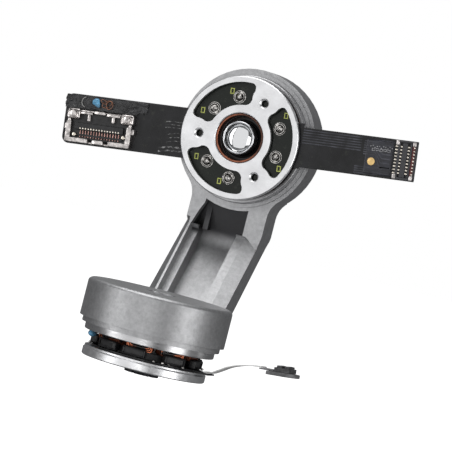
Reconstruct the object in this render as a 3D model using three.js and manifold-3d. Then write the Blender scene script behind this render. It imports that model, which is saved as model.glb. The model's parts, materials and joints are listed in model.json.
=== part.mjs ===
// Two-axis camera gimbal arm: a pan motor at the bottom, an inclined channel-section arm,
// and a roll motor at the top whose flange carries the camera and two flat flex tails.
// Frame: +Z up along the pan axis, origin on the outer face of the pan base plate,
// -Y towards the camera side. The roll axis is horizontal and points along -Y.
import * as THREE from "three";
import { mergeVertices } from "three/addons/utils/BufferGeometryUtils.js";
import Module from "manifold-3d";

const wasm = await Module();
wasm.setup();

// ---------------------------------------------------------------- driving dimensions, mm
const seatGap = 0.03; // between two pieces that are pressed or glued together
const runningFit = 0.05; // radial, between a shaft and its bearing
const overcut = 1; // how far a cutter runs past the face it opens

const rollAxisHeight = 33.55;
const rollFlangeBehind = 15.45; // roll flange's front face, behind the pan axis
const rollRestTurn = 6.5; // degrees, the roll head's stored position

const shaftRadius = 2;
const boreRadius = 3.5; // bearing seat in both hubs
const hubWall = 0.65;
const bearingHeight = 2;
const bearingSetback = 0.1; // rear bearing behind the hub's end face
const bearingShield = { recess: 0.1, width: 0.3, lip: 0.06 };
const innerRaceWall = 0.34;
const screwAngles = [60, 180, 300];

const housingRadius = 10.1;
const housingWall = 1.03;
const housingRoof = 0.95;
const housingRound = { width: 0.75, height: 0.6, steps: 5 }; // elliptical edge at a can's back
const lipRadius = 9.6; // raised lip round the housing's open face
const rotorRingWall = 0.58;
const magnetThickness = 0.62;
const magnetCount = 12;
const magnetHeight = 3.5;
const magnetRecess = 0.23; // inside the rotor ring's open end
const magnetSlot = { width: 0.3, floor: 0.15 };
const airGap = 0.27;
const motorFloat = 0.2; // end clearance between a hub and the housing roof

const toothCount = 9;
const toothWidth = 1.3;
const shoeThickness = 0.6;
const shoeHalfAngle = 15.5; // degrees
const yokeThickness = 0.6;
const stackHeight = 2.9;
const coilOverhang = 0.95;
const coilClearance = 0.12; // between neighbouring windings, on each side
const coilEdge = 0.35;
const panCoilStart = 1.2; // behind the base plate
const rollCoilStart = 0.4; // behind the flex circuit

const panDiscRadius = 8.6;
const panDiscThickness = 1.4;
const panDiscEdge = 0.12;
const panDiscStep = { height: 0.25, width: 0.15 };
const panBoreChamfer = { height: 0.35, width: 0.25 };
const panFrontBearing = 0.85;
const hubCap = { recess: 0.1, bossRadius: 2.4, bossHeight: 0.85, slotWidth: 0.32, slotDepth: 0.5,
  slotAngles: [20, 80, 140], bearingGap: 0.15, overlap: 0.1 };
const panHousingFace = 5.18; // from the base plate's outer face
const panHousingLength = 4.67; // from the open face to the start of the back chamfer
const panLipHeight = 0.76;
const panRingProud = 1.71; // rotor ring's height below the housing face

const flangeRadius = 8.72;
const flangeThickness = 0.65;
const flangeEdge = 0.12;
const rollHousingFace = 3.52; // from the flange's front face
const rollHousingLength = 3.92;
const rollLipHeight = 0.35;
const rollRingProud = 1.55;
const windowHalfAngle = 42; // degrees
const windowRim = 0.82; // flange material left outside each window
const windowHubRing = 1.15; // flange material left round the bore
const windowCorner = { share: 0.3, outerAngle: 5.5, innerAngle: 14, bulge: 2, innerBulge: 1 };
const screwCircleRadius = 6;
const screwHoleRadius = 0.5;
const countersink = 0.22;

const boardThickness = 0.2; // both flex circuits
const boardStandoff = 0.3; // roll flex circuit behind the flange
const panBoardStandoff = 0.05;
const boardRadius = 8.3;
const postRadius = 0.55;
const postHeight = 0.5;
const postCircleRadius = 5.85;
const postHalfSpread = 20; // degrees to each side of a window's middle

const rightTail = { reach: 25.7, width: 5.6, offset: -0.15 };
const leftTail = { reach: 26.8, width: 7.15, offset: -0.25 };
const tailCorner = 1;
const tailShoulder = { reach: 9, halfWidth: 3.2 };
const stiffenerThickness = 0.3;
const stiffenerInset = 0.15;
const leftStiffenerInset = 0.35;
const stiffenerBeyond = { left: 1.2, right: 1 }; // past the connectors they carry

const coaxWidth = 9.6;
const coaxDepth = 4.7;
const coaxHeight = 1.15;
const coaxEndMargin = 0.75;
const coaxOffset = -1.15;
const coaxWall = 0.25;
const coaxLatchGap = { fromEnd: 1.9, depth: 0.6, sill: 0.4 };
const coaxSlot = { fromEdge: 0.95, width: 0.6, fromEnd: 1.2, floor: 0.35 };
const coaxInsulatorRecess = 0.35;
const coaxPins = 15;
const contactPitch = 0.42;
const contactWidth = 0.2;
const contactClearance = 0.1;

const btbLength = 2.7;
const btbWidth = 5.4;
const btbHeight = 0.75;
const btbEndMargin = 0.35;
const btbSlots = { width: 0.42, depth: 0.45, fromEnd: 0.45, places: [-0.85, 0.2] };
const btbContact = { clear: 0.06, rail: 0.12, length: 0.24, railDrop: 0.25, tipDrop: 0.05 };
const btbPins = 9;

const testPadRadius = 0.55;
const testPadReach = 19.3;
const testPadDrop = 0.7; // below the right tail's middle line
const testPadHeight = 0.08;
const boreLiner = { thickness: 0.28, from: 0.2, to: 1.45 };
const frontSealStart = 1.5;
const innerRing = { proud: 0.3, end: 3.5 };
const shaftDish = { depth: 0.65, radius: 1.1, slopeDepth: 0.35, rimRadius: 1.75 };
const shaftSetback = 0.1; // both shafts' ends, from the faces they stop behind

const panTail = { width: 3, thickness: 0.15, start: 9, lift: 0.15, sideInset: 0.2, endTilt: 5.5 };
const panTongue = { from: 1, reach: 9.7 }; // from the hub's wall to its end
const panTailBoard = { start: 1, length: 4.1, width: 4.2, thickness: 0.5 };
const panTailStiffener = { from: -0.1, to: 1.9, sideInset: 0.3, thickness: 0.17 };
const panTailPlug = { from: 2, length: 2.1, width: 3.4, height: 0.85 };
const panPlugSlot = { near: 0.6, far: 0.5, side: 0.4, floor: 0.35 };

const armLeanAngle = 35.2; // degrees from vertical, below the bend
const bendHeight = 20.28; // bend line on the arm's front face
const armDepth = 4.8;
const neckHalfRight = 5.74;
const neckHalfLeft = 5.9;
const neckFillet = 3.4;
const neckTaper = { inset: 0.2, below: 1, above: 0.6 }; // round the bend line
const neckBackStep = 0.25; // neck's back, in front of the roll can's back
const footHalfRight = 5.2;
const footHalfLeft = 6.95;
const channelDepth = 3.7;
const channelLeft = -4.05;
const channelRight = 1.95;
const ledgeDepth = 1.5;
const rimInner = -5.02;
const rimOuter = -5.33;
const outerSlopeDepth = 1.3;
const rightLedgeEdge = 3.4;
const rightLedgeDepth = 0.35;
const rightSlopeDrop = 0.5;
const rightSlopeBlend = 3; // length over which the right-hand face starts to drop
const shelfStart = -0.1; // along the slope, where the left shelf begins
const ledgeStart = 0.15;
const outerSlopeStart = -0.7;
const pocketRight = 2.9;
const pocketDepth = 3.4;
const pocketOverhang = 2.5; // how far its back wall leans forward at the top
const pocketIntoCan = 1.5; // above the lowest point of the roll can
const pocketLeftEdge = [[0.7, Infinity], [0.45, 4.4], [0.3, 3.2], [-0.25, 2]]; // x, height over the bend
const ribInset = 0.35;
const ribWidth = 0.75;
const ribSetback = 1.6;
const ribDrop = 0.5; // below the bend
const floorBlend = 3; // radius where the channel floor turns into the neck pocket
const backChamfer = 0.9;
const backChamferLeft = 1.44;
const backChamferStart = -8; // along the slope, above the bend
const channelRunout = 0.6; // the channel floor ends this far below the pan can's back
const outerSlopeWidth = 1.4; // steepness of the left outer face, by its depth
const footWebInset = { depth: 0.1, left: 0.4, right: 0.2, top: 0.7 };

// ---------------------------------------------------------------- colours and finishes
const finish = (color, metalness, roughness) => ({ color, metalness, roughness });
const anodised = finish(0xa4a5a8, 0.75, 0.48);
const machined = finish(0xe4e5e8, 0.95, 0.26);
const steel = finish(0xc6c8cc, 1, 0.3);
const darkSteel = finish(0x2c2d30, 0.8, 0.45);
const polished = finish(0xeaecef, 1, 0.06);
const magnetNickel = finish(0x8e9095, 0.9, 0.4);
const lamination = finish(0x232428, 0.3, 0.55);
const copper = finish(0xa9502a, 0.85, 0.38);
const bronze = finish(0xa5583a, 0.85, 0.35);
const blackSeal = finish(0x131315, 0.1, 0.45);
const blackFilm = finish(0x1b1c1e, 0.15, 0.42);
const paleFilm = finish(0xe8e8e6, 0.1, 0.4);
const stiffenerGrey = finish(0x77787a, 0.4, 0.5);
const solder = finish(0xd5d6d6, 0.9, 0.25);
const nickel = finish(0xcfcdc8, 0.95, 0.3);
const blackPlastic = finish(0x19191b, 0, 0.5);
const gold = finish(0xe0b265, 0.95, 0.28);

// ---------------------------------------------------------------- building blocks
const deg = THREE.MathUtils.degToRad;
const polar = (radius, degrees) => new THREE.Vector2(
  radius * Math.cos(deg(degrees)), radius * Math.sin(deg(degrees)));

// A closed three.js geometry as a solid that can be joined and cut.
function solid(geometry) {
  geometry.deleteAttribute("normal");
  geometry.deleteAttribute("uv");
  const merged = mergeVertices(geometry, 1e-4);
  const vertProperties = merged.attributes.position.array;
  const triVerts = new Uint32Array(merged.index.array);
  const made = new wasm.Manifold(new wasm.Mesh({ numProp: 3, vertProperties, triVerts }));
  if (made.volume() > 0) return made;
  const turned = triVerts.map((vertex, i) => triVerts[i % 3 === 0 ? i : i + 3 - 2 * (i % 3)]);
  return new wasm.Manifold(new wasm.Mesh({ numProp: 3, vertProperties, triVerts: turned }));
}

function geometryOf(shape) {
  const { vertProperties, triVerts } = shape.getMesh();
  const geometry = new THREE.BufferGeometry();
  geometry.setAttribute("position", new THREE.BufferAttribute(vertProperties, 3));
  geometry.setIndex(new THREE.BufferAttribute(triVerts, 1));
  const flat = geometry.toNonIndexed();
  flat.computeVertexNormals();
  return flat;
}

function part(name, shape, look) {
  const mesh = new THREE.Mesh(geometryOf(shape), new THREE.MeshStandardMaterial(look));
  mesh.name = name;
  return mesh;
}

const join = (shapes) => shapes.reduce((whole, next) => whole.add(next));
const cut = (body, cutters) => cutters.reduce((whole, next) => whole.subtract(next), body);

// A closed (radius, height) outline turned about Z.
function turned(outline, segments = 56) {
  const points = [...outline, outline[0]].map(([radius, height]) => new THREE.Vector2(radius, height));
  return solid(new THREE.LatheGeometry(points, segments).rotateX(Math.PI / 2));
}

const ring = (inner, outer, from, to, segments) => turned(
  [[inner, from], [outer, from], [outer, to], [inner, to]], segments);

const disc = (radius, from, to, segments = 32) => solid(
  new THREE.CylinderGeometry(radius, radius, to - from, segments)
    .rotateX(Math.PI / 2)
    .translate(0, 0, (from + to) / 2));

const block = ([x0, x1], [y0, y1], [z0, z1]) => solid(
  new THREE.BoxGeometry(x1 - x0, y1 - y0, z1 - z0)
    .translate((x0 + x1) / 2, (y0 + y1) / 2, (z0 + z1) / 2));

// A flat (x, y) outline raised from one height to another.
function raised(outline, from, to) {
  const shape = outline instanceof THREE.Shape ? outline : new THREE.Shape(outline);
  const geometry = new THREE.ExtrudeGeometry(shape,
    { depth: to - from, bevelEnabled: false, curveSegments: 10 });
  return solid(geometry.translate(0, 0, from));
}

// A flat (y, z) side outline swept along X.
function sideSweep(outline, from, to) {
  const geometry = new THREE.ExtrudeGeometry(new THREE.Shape(outline),
    { depth: to - from, bevelEnabled: false });
  return solid(geometry
    .applyMatrix4(new THREE.Matrix4().makeBasis(
      new THREE.Vector3(0, 1, 0), new THREE.Vector3(0, 0, 1), new THREE.Vector3(1, 0, 0)))
    .translate(from, 0, 0));
}

// A flat (x, z) front outline swept along Y.
function frontSweep(outline, from, to) {
  const geometry = new THREE.ExtrudeGeometry(new THREE.Shape(outline),
    { depth: to - from, bevelEnabled: false });
  return solid(geometry.rotateX(Math.PI / 2).translate(0, to, 0));
}

function arcPoints(centre, radius, fromDegrees, toDegrees, steps) {
  return Array.from({ length: steps + 1 }, (_, i) => {
    const angle = fromDegrees + ((toDegrees - fromDegrees) * i) / steps;
    return polar(radius, angle).add(centre);
  });
}

const aroundZ = (shape, degrees) => shape.rotate([0, 0, degrees]);

// ---------------------------------------------------------------- sizes that follow
const cavityRadius = housingRadius - housingWall;
const rotorOuter = cavityRadius - seatGap;
const rotorInner = rotorOuter - rotorRingWall;
const magnetOuter = rotorInner - seatGap;
const magnetInner = magnetOuter - magnetThickness;
const statorRadius = magnetInner - airGap;
const hubRadius = boreRadius + hubWall;
const bearingOuter = boreRadius - seatGap;
const raceOuter = shaftRadius + innerRaceWall;
const coreInner = hubRadius + seatGap;
const boardInner = hubRadius + 3 * seatGap;

// A motor's heights, measured from its plate's outer face towards the housing roof.
function motorHeights(face, housingLength, coilStart) {
  const coreFrom = coilStart + coilOverhang;
  const coreTo = coreFrom + stackHeight;
  const back = face + housingLength + housingRound.height;
  const roof = back - housingRoof;
  return { face, coilStart, coreFrom, coreTo, coilEnd: coreTo + coilOverhang, back, roof,
    hubEnd: roof - motorFloat };
}

const pan = motorHeights(panHousingFace, panHousingLength, panDiscThickness + panCoilStart);
const roll = motorHeights(rollHousingFace, rollHousingLength,
  flangeThickness + boardStandoff + boardThickness + rollCoilStart);

// ---------------------------------------------------------------- motor pieces
function statorOutline() {
  const tooth = toothWidth / 2;
  const yokeOuter = coreInner + yokeThickness;
  const shoeInner = statorRadius - shoeThickness;
  const step = 360 / toothCount;
  const outline = [];
  for (let i = 0; i < toothCount; i += 1) {
    const middle = i * step;
    const toothAt = (radius, side) => middle + side * THREE.MathUtils.radToDeg(Math.asin(tooth / radius));
    outline.push(polar(yokeOuter, middle - step / 2));
    outline.push(polar(yokeOuter, toothAt(yokeOuter, -1)));
    outline.push(polar(shoeInner, toothAt(shoeInner, -1)));
    for (let j = -2; j <= 2; j += 1) {
      outline.push(polar(statorRadius, middle + (j * shoeHalfAngle) / 2));
    }
    outline.push(polar(shoeInner, toothAt(shoeInner, 1)));
    outline.push(polar(yokeOuter, toothAt(yokeOuter, 1)));
  }
  const shape = new THREE.Shape(outline);
  const boreSteps = 40;
  shape.holes.push(new THREE.Path(
    arcPoints(new THREE.Vector2(), coreInner, 0, 360 - 360 / boreSteps, boreSteps - 1)));
  return shape;
}

// One winding: a wedge-shaped loop round a tooth, along +X.
function coil(heights) {
  const from = coreInner + yokeThickness + 2 * seatGap;
  const to = statorRadius - shoeThickness - 2 * seatGap;
  const halfAt = (radius) => radius * Math.tan(deg(180 / toothCount)) - coilClearance;
  const edge = coilEdge;
  const blank = solid(new THREE.ExtrudeGeometry(
    new THREE.Shape([
      new THREE.Vector2(from + edge, -halfAt(from) + edge),
      new THREE.Vector2(to - edge, -halfAt(to) + 1.5 * edge),
      new THREE.Vector2(to - edge, halfAt(to) - 1.5 * edge),
      new THREE.Vector2(from + edge, halfAt(from) - edge),
    ]),
    { depth: heights.coilEnd - heights.coilStart - 2 * edge, bevelEnabled: true,
      bevelThickness: edge, bevelSize: edge, bevelSegments: 1 },
  ).translate(0, 0, heights.coilStart + edge));
  const half = toothWidth / 2 + seatGap;
  return cut(blank, [block([from - overcut, to + overcut], [-half, half],
    [heights.coreFrom - seatGap, heights.coreTo + seatGap])]);
}

function stator(prefix, heights) {
  const pieces = [part(`${prefix}_stator_core`,
    raised(statorOutline(), heights.coreFrom, heights.coreTo), lamination)];
  const winding = coil(heights);
  for (let i = 0; i < toothCount; i += 1) {
    pieces.push(part(`${prefix}_coil_${i + 1}`, aroundZ(winding, (i * 360) / toothCount), copper));
  }
  return pieces;
}

function rotor(prefix, heights, proud) {
  const ringFrom = heights.face - proud;
  const ringTo = heights.roof - seatGap;
  const magnetFrom = ringFrom + magnetRecess;
  const magnetTo = magnetFrom + magnetHeight;
  const halfSlot = magnetSlot.width / 2;
  const slots = Array.from({ length: magnetCount }, (_, i) => aroundZ(
    block([magnetInner - overcut, magnetOuter - magnetSlot.floor], [-halfSlot, halfSlot],
      [magnetFrom - overcut, magnetTo + overcut]),
    ((i + 0.5) * 360) / magnetCount));
  return [
    part(`${prefix}_rotor_ring`, ring(rotorInner, rotorOuter, ringFrom, ringTo), steel),
    part(`${prefix}_magnet_ring`,
      cut(ring(magnetInner, magnetOuter, magnetFrom, magnetTo), slots), magnetNickel),
  ];
}

// The housing that belongs to the arm, open towards the plate.
function backRound(back) {
  const { width, height, steps } = housingRound;
  return Array.from({ length: steps + 1 }, (_, i) => {
    const angle = (Math.PI / 2) * (i / steps);
    return [housingRadius - width * (1 - Math.cos(angle)), back - height * (1 - Math.sin(angle))];
  });
}

function housing(heights, lipHeight) {
  return turned([
    [shaftRadius + seatGap, heights.roof],
    [cavityRadius, heights.roof],
    [cavityRadius, heights.face - lipHeight],
    [lipRadius, heights.face - lipHeight],
    [lipRadius, heights.face],
    [housingRadius, heights.face],
    ...backRound(heights.back),
    [shaftRadius + seatGap, heights.back],
  ], 56);
}

const housingCavity = (heights, lipHeight) => disc(
  cavityRadius, heights.face - lipHeight - overcut, heights.roof, 56);
const shaftHole = (heights) => disc(
  shaftRadius + seatGap, heights.face, heights.back + overcut, 32);

const bearing = (from, innerRadius) => turned([
  [innerRadius, from + bearingShield.recess],
  [innerRadius + bearingShield.width, from + bearingShield.recess],
  [innerRadius + bearingShield.width + bearingShield.lip, from],
  [bearingOuter, from],
  [bearingOuter, from + bearingHeight],
  [innerRadius, from + bearingHeight],
], 32);

// ---------------------------------------------------------------- pan base
function panBasePlate() {
  const stepFrom = panDiscThickness - panDiscStep.height;
  const plate = turned([
    [boreRadius, panBoreChamfer.height],
    [boreRadius + panBoreChamfer.width, 0],
    [panDiscRadius - panDiscEdge, 0],
    [panDiscRadius, panDiscEdge],
    [panDiscRadius, stepFrom - panDiscStep.width],
    [panDiscRadius - panDiscStep.width, stepFrom],
    [panDiscRadius - panDiscStep.width, panDiscThickness],
    [hubRadius, panDiscThickness],
    [hubRadius, pan.hubEnd],
    [boreRadius, pan.hubEnd],
  ], 56);
  const holes = screwAngles.map((angle) => {
    const { x, y } = polar(screwCircleRadius, angle);
    return disc(screwHoleRadius, -overcut, panDiscThickness + overcut, 16).translate([x, y, 0]);
  });
  return part("pan_base_plate", cut(plate, holes), machined);
}

// Dark cap in the base plate's bore, with a castellated boss.
function panHubCap() {
  const { bossRadius, bossHeight } = hubCap;
  const cap = join([
    disc(bearingOuter, hubCap.recess, panFrontBearing - hubCap.bearingGap),
    disc(bossRadius, -bossHeight, hubCap.recess + hubCap.overlap),
  ]);
  const halfSlot = hubCap.slotWidth / 2;
  const slots = hubCap.slotAngles.map((angle) => aroundZ(
    block([-bossRadius - overcut, bossRadius + overcut], [-halfSlot, halfSlot],
      [-bossHeight - overcut, -bossHeight + hubCap.slotDepth]), angle));
  return part("pan_hub_cap", cut(cap, slots), darkSteel);
}

const tongueFrom = panDiscThickness + panBoardStandoff;
const tongueTop = tongueFrom + boardThickness;

function panTerminationBoard() {
  const board = ring(boardInner, statorRadius, tongueFrom, tongueTop, 56);
  const half = panTail.width / 2;
  const tongue = block([hubRadius + panTongue.from, panTongue.reach], [-half, half],
    [tongueFrom, tongueTop]);
  return part("pan_termination_board", board.add(tongue), blackFilm);
}

// The pale ribbon rises from the tongue and levels out, all in the XZ plane.
const ribbonMiddle = [[0, 0], [0.8, 0.05], [1.9, 0.7], [3.1, 1.5], [4.4, 2.05], [5.6, 2.4],
  [6.7, 2.6], [7.7, 2.72]].map(([along, up]) => new THREE.Vector2(
  panTail.start + along, tongueTop + panTail.lift + up));

function panTailFlex() {
  const curve = new THREE.SplineCurve(ribbonMiddle);
  const steps = 24;
  const half = panTail.thickness / 2;
  const side = (sign) => Array.from({ length: steps + 1 }, (_, i) => {
    const tangent = curve.getTangent(i / steps);
    return curve.getPoint(i / steps)
      .add(new THREE.Vector2(-tangent.y, tangent.x).multiplyScalar(sign * half));
  });
  const outline = [...side(-1), ...side(1).reverse()];
  const halfWidth = panTail.width / 2 - panTail.sideInset;
  return part("pan_tail_flex", frontSweep(outline, -halfWidth, halfWidth), paleFilm);
}

// Stiffener, small board and plug at the ribbon's far end.
function panTailEnd() {
  const end = ribbonMiddle[ribbonMiddle.length - 1];
  const { length, width, thickness } = panTailBoard;
  const half = width / 2;
  const outline = new THREE.Shape();
  outline.moveTo(0, -half);
  outline.lineTo(length - half, -half);
  outline.absellipse(length - half, 0, half, half, -Math.PI / 2, Math.PI / 2, false);
  outline.lineTo(0, half);
  const stiffTop = -panTail.thickness / 2 - seatGap;
  const boardTop = stiffTop - panTailStiffener.thickness - seatGap;
  const board = raised(outline, boardTop - thickness, boardTop)
    .translate([panTailBoard.start, 0, 0]);
  const stiffHalf = half - panTailStiffener.sideInset;
  const stiffener = block([panTailStiffener.from, panTailStiffener.to], [-stiffHalf, stiffHalf],
    [boardTop + seatGap, stiffTop]);
  const plugEnd = panTailPlug.from + panTailPlug.length;
  const plugHalf = panTailPlug.width / 2;
  const plugBase = boardTop + seatGap;
  const plugTop = plugBase + panTailPlug.height;
  const slotHalf = plugHalf - panPlugSlot.side;
  const plug = cut(
    block([panTailPlug.from, plugEnd], [-plugHalf, plugHalf], [plugBase, plugTop]),
    [block([panTailPlug.from + panPlugSlot.near, plugEnd - panPlugSlot.far],
      [-slotHalf, slotHalf], [plugBase + panPlugSlot.floor, plugTop + overcut])]);
  const group = new THREE.Group();
  group.add(
    part("pan_tail_stiffener", stiffener, stiffenerGrey),
    part("pan_tail_board", board, stiffenerGrey),
    part("pan_tail_plug", plug, blackPlastic),
  );
  group.position.set(end.x, 0, end.y);
  group.rotation.y = -deg(panTail.endTilt);
  return group;
}

function panBase() {
  const group = new THREE.Group();
  group.add(
    panBasePlate(),
    panHubCap(),
    part("pan_bearing_front", bearing(panFrontBearing, shaftRadius + runningFit), steel),
    part("pan_bearing_rear",
      bearing(pan.hubEnd - bearingHeight - bearingSetback, shaftRadius + runningFit), steel),
    panTerminationBoard(),
    ...stator("pan", pan),
    panTailFlex(),
    panTailEnd(),
  );
  return group;
}

// ---------------------------------------------------------------- arm
const neckFront = rollFlangeBehind + rollHousingFace;
const rollBack = rollFlangeBehind + roll.back;
const lean = deg(armLeanAngle);
const down = new THREE.Vector2(-Math.sin(lean), -Math.cos(lean)); // along the slope, in (y, z)
const inward = new THREE.Vector2(Math.cos(lean), -Math.sin(lean)); // into the slope's depth
const bendPoint = new THREE.Vector2(neckFront, bendHeight);
const footLevel = panHousingFace;
const pocketTop = rollAxisHeight - housingRadius + pocketIntoCan;

const onSlope = (along, depth) => bendPoint.clone()
  .addScaledVector(down, along)
  .addScaledVector(inward, depth);
const alongAt = (z, depth) => (onSlope(0, depth).y - z) / Math.cos(lean);

// Where a line parallel to the slope meets the plane a given depth behind the neck's front.
function bendAt(neckDepth, slopeDepth) {
  const start = onSlope(0, slopeDepth);
  const along = (start.x - neckFront - neckDepth) / Math.sin(lean);
  return onSlope(along, slopeDepth);
}

// Side outline between the neck's front plane and a back line, over the whole arm.
function armSide() {
  const neckBack = rollBack - neckBackStep;
  return [
    new THREE.Vector2(neckFront, rollAxisHeight),
    bendPoint,
    onSlope(alongAt(footLevel, 0), 0),
    onSlope(alongAt(footLevel, armDepth), armDepth),
    bendAt(neckBack - neckFront, armDepth),
    new THREE.Vector2(neckBack, rollAxisHeight),
  ];
}

// Front outline: neck with a fillet into the round housing, slope widening to the foot.
function armFront() {
  const flare = (halfWidth, sign) => {
    const reach = housingRadius + neckFillet;
    const centreX = halfWidth + neckFillet;
    const drop = Math.sqrt(reach * reach - centreX * centreX);
    const centreY = rollAxisHeight - drop;
    const meet = THREE.MathUtils.radToDeg(Math.atan2(drop, -centreX));
    const steps = 6;
    return arcPoints(new THREE.Vector2(centreX, centreY), neckFillet, 180, meet, steps)
      .map(({ x, y }) => new THREE.Vector2(sign * x, y));
  };
  return [
    new THREE.Vector2(footHalfRight, footLevel - overcut),
    new THREE.Vector2(neckHalfRight - neckTaper.inset, bendHeight - neckTaper.below),
    new THREE.Vector2(neckHalfRight, bendHeight + neckTaper.above),
    ...flare(neckHalfRight, 1),
    new THREE.Vector2(0, rollAxisHeight),
    ...flare(neckHalfLeft, -1).reverse(),
    new THREE.Vector2(-neckHalfLeft, bendHeight + neckTaper.above),
    new THREE.Vector2(-footHalfLeft, footLevel - overcut),
  ];
}

// A cutter running down the slope: (x, depth) outlines at two stations, joined by flat sides.
function slopeLoft(startOutline, from, endOutline, to) {
  const count = startOutline.length;
  const place = (along) => ([x, depth]) => {
    const { x: y, y: z } = onSlope(along, depth);
    return new THREE.Vector3(x, y, z);
  };
  const flat = endOutline.map(([x, depth]) => new THREE.Vector2(x, depth));
  const clockwise = THREE.ShapeUtils.isClockWise(flat);
  const inOrder = (outline) => (clockwise ? [...outline].reverse() : outline);
  const rows = [...inOrder(startOutline).map(place(from)), ...inOrder(endOutline).map(place(to))];
  const caps = THREE.ShapeUtils.triangulateShape(inOrder(flat), []);
  const faces = [
    ...caps,
    ...caps.map(([a, b, c]) => [a + count, c + count, b + count]),
    ...startOutline.flatMap((_, i) => {
      const next = (i + 1) % count;
      return [[i, i + count, next], [next, i + count, next + count]];
    }),
  ];
  const geometry = new THREE.BufferGeometry().setFromPoints(rows);
  geometry.setIndex(faces.flat());
  return solid(geometry);
}

const slopeCutter = (outline, from, to) => slopeLoft(outline, from, outline, to);

// The deep channel's floor curves up into the neck pocket's back wall, which leans forward
// towards the roll can, so that the pocket closes like a vault.
function channelSide(topZ) {
  const corner = bendAt(pocketDepth, channelDepth);
  const wallLean = Math.atan2(pocketOverhang, pocketTop - corner.y);
  const back = floorBlend * Math.tan((lean + wallLean) / 2);
  const start = new THREE.Vector2(Math.sin(lean), Math.cos(lean)).multiplyScalar(-back).add(corner);
  const centre = new THREE.Vector2(-Math.cos(lean), Math.sin(lean))
    .multiplyScalar(floorBlend)
    .add(start);
  const steps = 8;
  const blend = arcPoints(centre, floorBlend, THREE.MathUtils.radToDeg(wallLean), -armLeanAngle, steps);
  const exit = onSlope(alongAt(pan.back - channelRunout, channelDepth), channelDepth);
  const clearOfArm = 3 * armDepth;
  return [
    new THREE.Vector2(corner.x - (topZ - corner.y) * Math.tan(wallLean), topZ),
    ...blend,
    exit,
    new THREE.Vector2(exit.x - clearOfArm, exit.y),
    new THREE.Vector2(neckFront - clearOfArm, topZ),
  ];
}

// What is cut away over the sloping right-hand face, for a given drop at its outer edge.
function rightSlope(drop) {
  const beyond = neckHalfRight + 2 * overcut;
  const steepness = drop / (footHalfRight - rightLedgeEdge);
  return [
    [rightLedgeEdge, 0],
    [rightLedgeEdge, -2 * overcut],
    [beyond, -2 * overcut],
    [beyond, steepness * (beyond - rightLedgeEdge)],
  ];
}

// Solid web between the pan housing's back wall and the foot of the slope.
function footWeb() {
  const top = pan.back - footWebInset.top;
  const { depth } = footWebInset;
  return sideSweep([
    new THREE.Vector2(cavityRadius / 2, footLevel),
    onSlope(alongAt(footLevel, depth), depth),
    onSlope(alongAt(top, depth), depth),
    new THREE.Vector2(cavityRadius / 2, top),
  ], -footHalfLeft + footWebInset.left, footHalfRight - footWebInset.right);
}

const widest = footHalfLeft + overcut;

// Recess in the neck under the roll can: its left edge steps in as it rises.
function neckPocket() {
  const low = bendHeight - seatGap;
  const leftEdge = pocketLeftEdge.map(([x, over]) => new THREE.Vector2(
    channelLeft + x, Math.min(bendHeight + over, pocketTop)));
  return frontSweep([
    new THREE.Vector2(pocketRight, pocketTop),
    ...leftEdge,
    new THREE.Vector2(rimInner, low),
    new THREE.Vector2(pocketRight, low),
  ], neckFront - overcut, neckFront + pocketDepth)
    .intersect(sideSweep(channelSide(pocketTop + overcut), -widest, widest));
}

// Everything that is cut out of the inclined section, from left to right.
function slopeCutters() {
  const foot = alongAt(footLevel, 0) + armDepth;
  const above = -2 * overcut;
  const behind = armDepth + overcut;
  const shelfRight = channelRight + seatGap;
  const outer = -widest - overcut;
  return [
    slopeCutter([[rimOuter, 0], [rimOuter, above], [outer, above],
      [outer, outerSlopeWidth * outerSlopeDepth], [-footHalfLeft, outerSlopeDepth]],
    outerSlopeStart, foot),
    slopeCutter([[rimInner, -overcut], [shelfRight, -overcut], [shelfRight, ledgeDepth],
      [rimInner, ledgeDepth]], shelfStart, foot),
    slopeCutter([[channelRight, -overcut], [rightLedgeEdge, -overcut],
      [rightLedgeEdge, rightLedgeDepth], [channelRight, rightLedgeDepth]], ledgeStart, foot),
    slopeLoft(rightSlope(0), 0, rightSlope(rightSlopeDrop), rightSlopeBlend),
    slopeCutter(rightSlope(rightSlopeDrop), rightSlopeBlend, foot),
    slopeCutter([[footHalfRight - backChamfer - overcut, behind],
      [footHalfRight + overcut, behind], [footHalfRight + overcut, armDepth - backChamfer - overcut]],
    backChamferStart, foot),
    slopeCutter([[-footHalfLeft + backChamferLeft + overcut, behind],
      [-footHalfLeft - overcut, armDepth - backChamfer - overcut], [-footHalfLeft - overcut, behind]],
    backChamferStart, foot),
  ];
}

function armFrame() {
  const inRoll = (shape) => shape.rotate([-90, 0, 0])
    .translate([0, rollFlangeBehind, rollAxisHeight]);
  const beam = sideSweep(armSide(), -widest, widest)
    .intersect(frontSweep(armFront(), 0, rollBack));
  const deepChannel = sideSweep(channelSide(bendHeight), channelLeft, channelRight);
  const ribLeft = channelLeft + ribInset;
  const rib = block([ribLeft, ribLeft + ribWidth],
    [neckFront + ribSetback, neckFront + pocketDepth + seatGap],
    [bendHeight - ribDrop, pocketTop]);
  const section = cut(beam, [deepChannel, neckPocket(), ...slopeCutters()]);
  const frame = cut(
    join([section, footWeb(), rib, housing(pan, panLipHeight), inRoll(housing(roll, rollLipHeight))]),
    [
      housingCavity(pan, panLipHeight),
      shaftHole(pan),
      inRoll(housingCavity(roll, rollLipHeight)),
      inRoll(shaftHole(roll)),
    ]);
  return part("arm_frame", frame, anodised);
}

function rollAxisGroup(turn) {
  const group = new THREE.Group();
  group.position.set(0, rollFlangeBehind, rollAxisHeight);
  group.rotation.set(-Math.PI / 2, 0, -deg(turn));
  return group;
}

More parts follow.
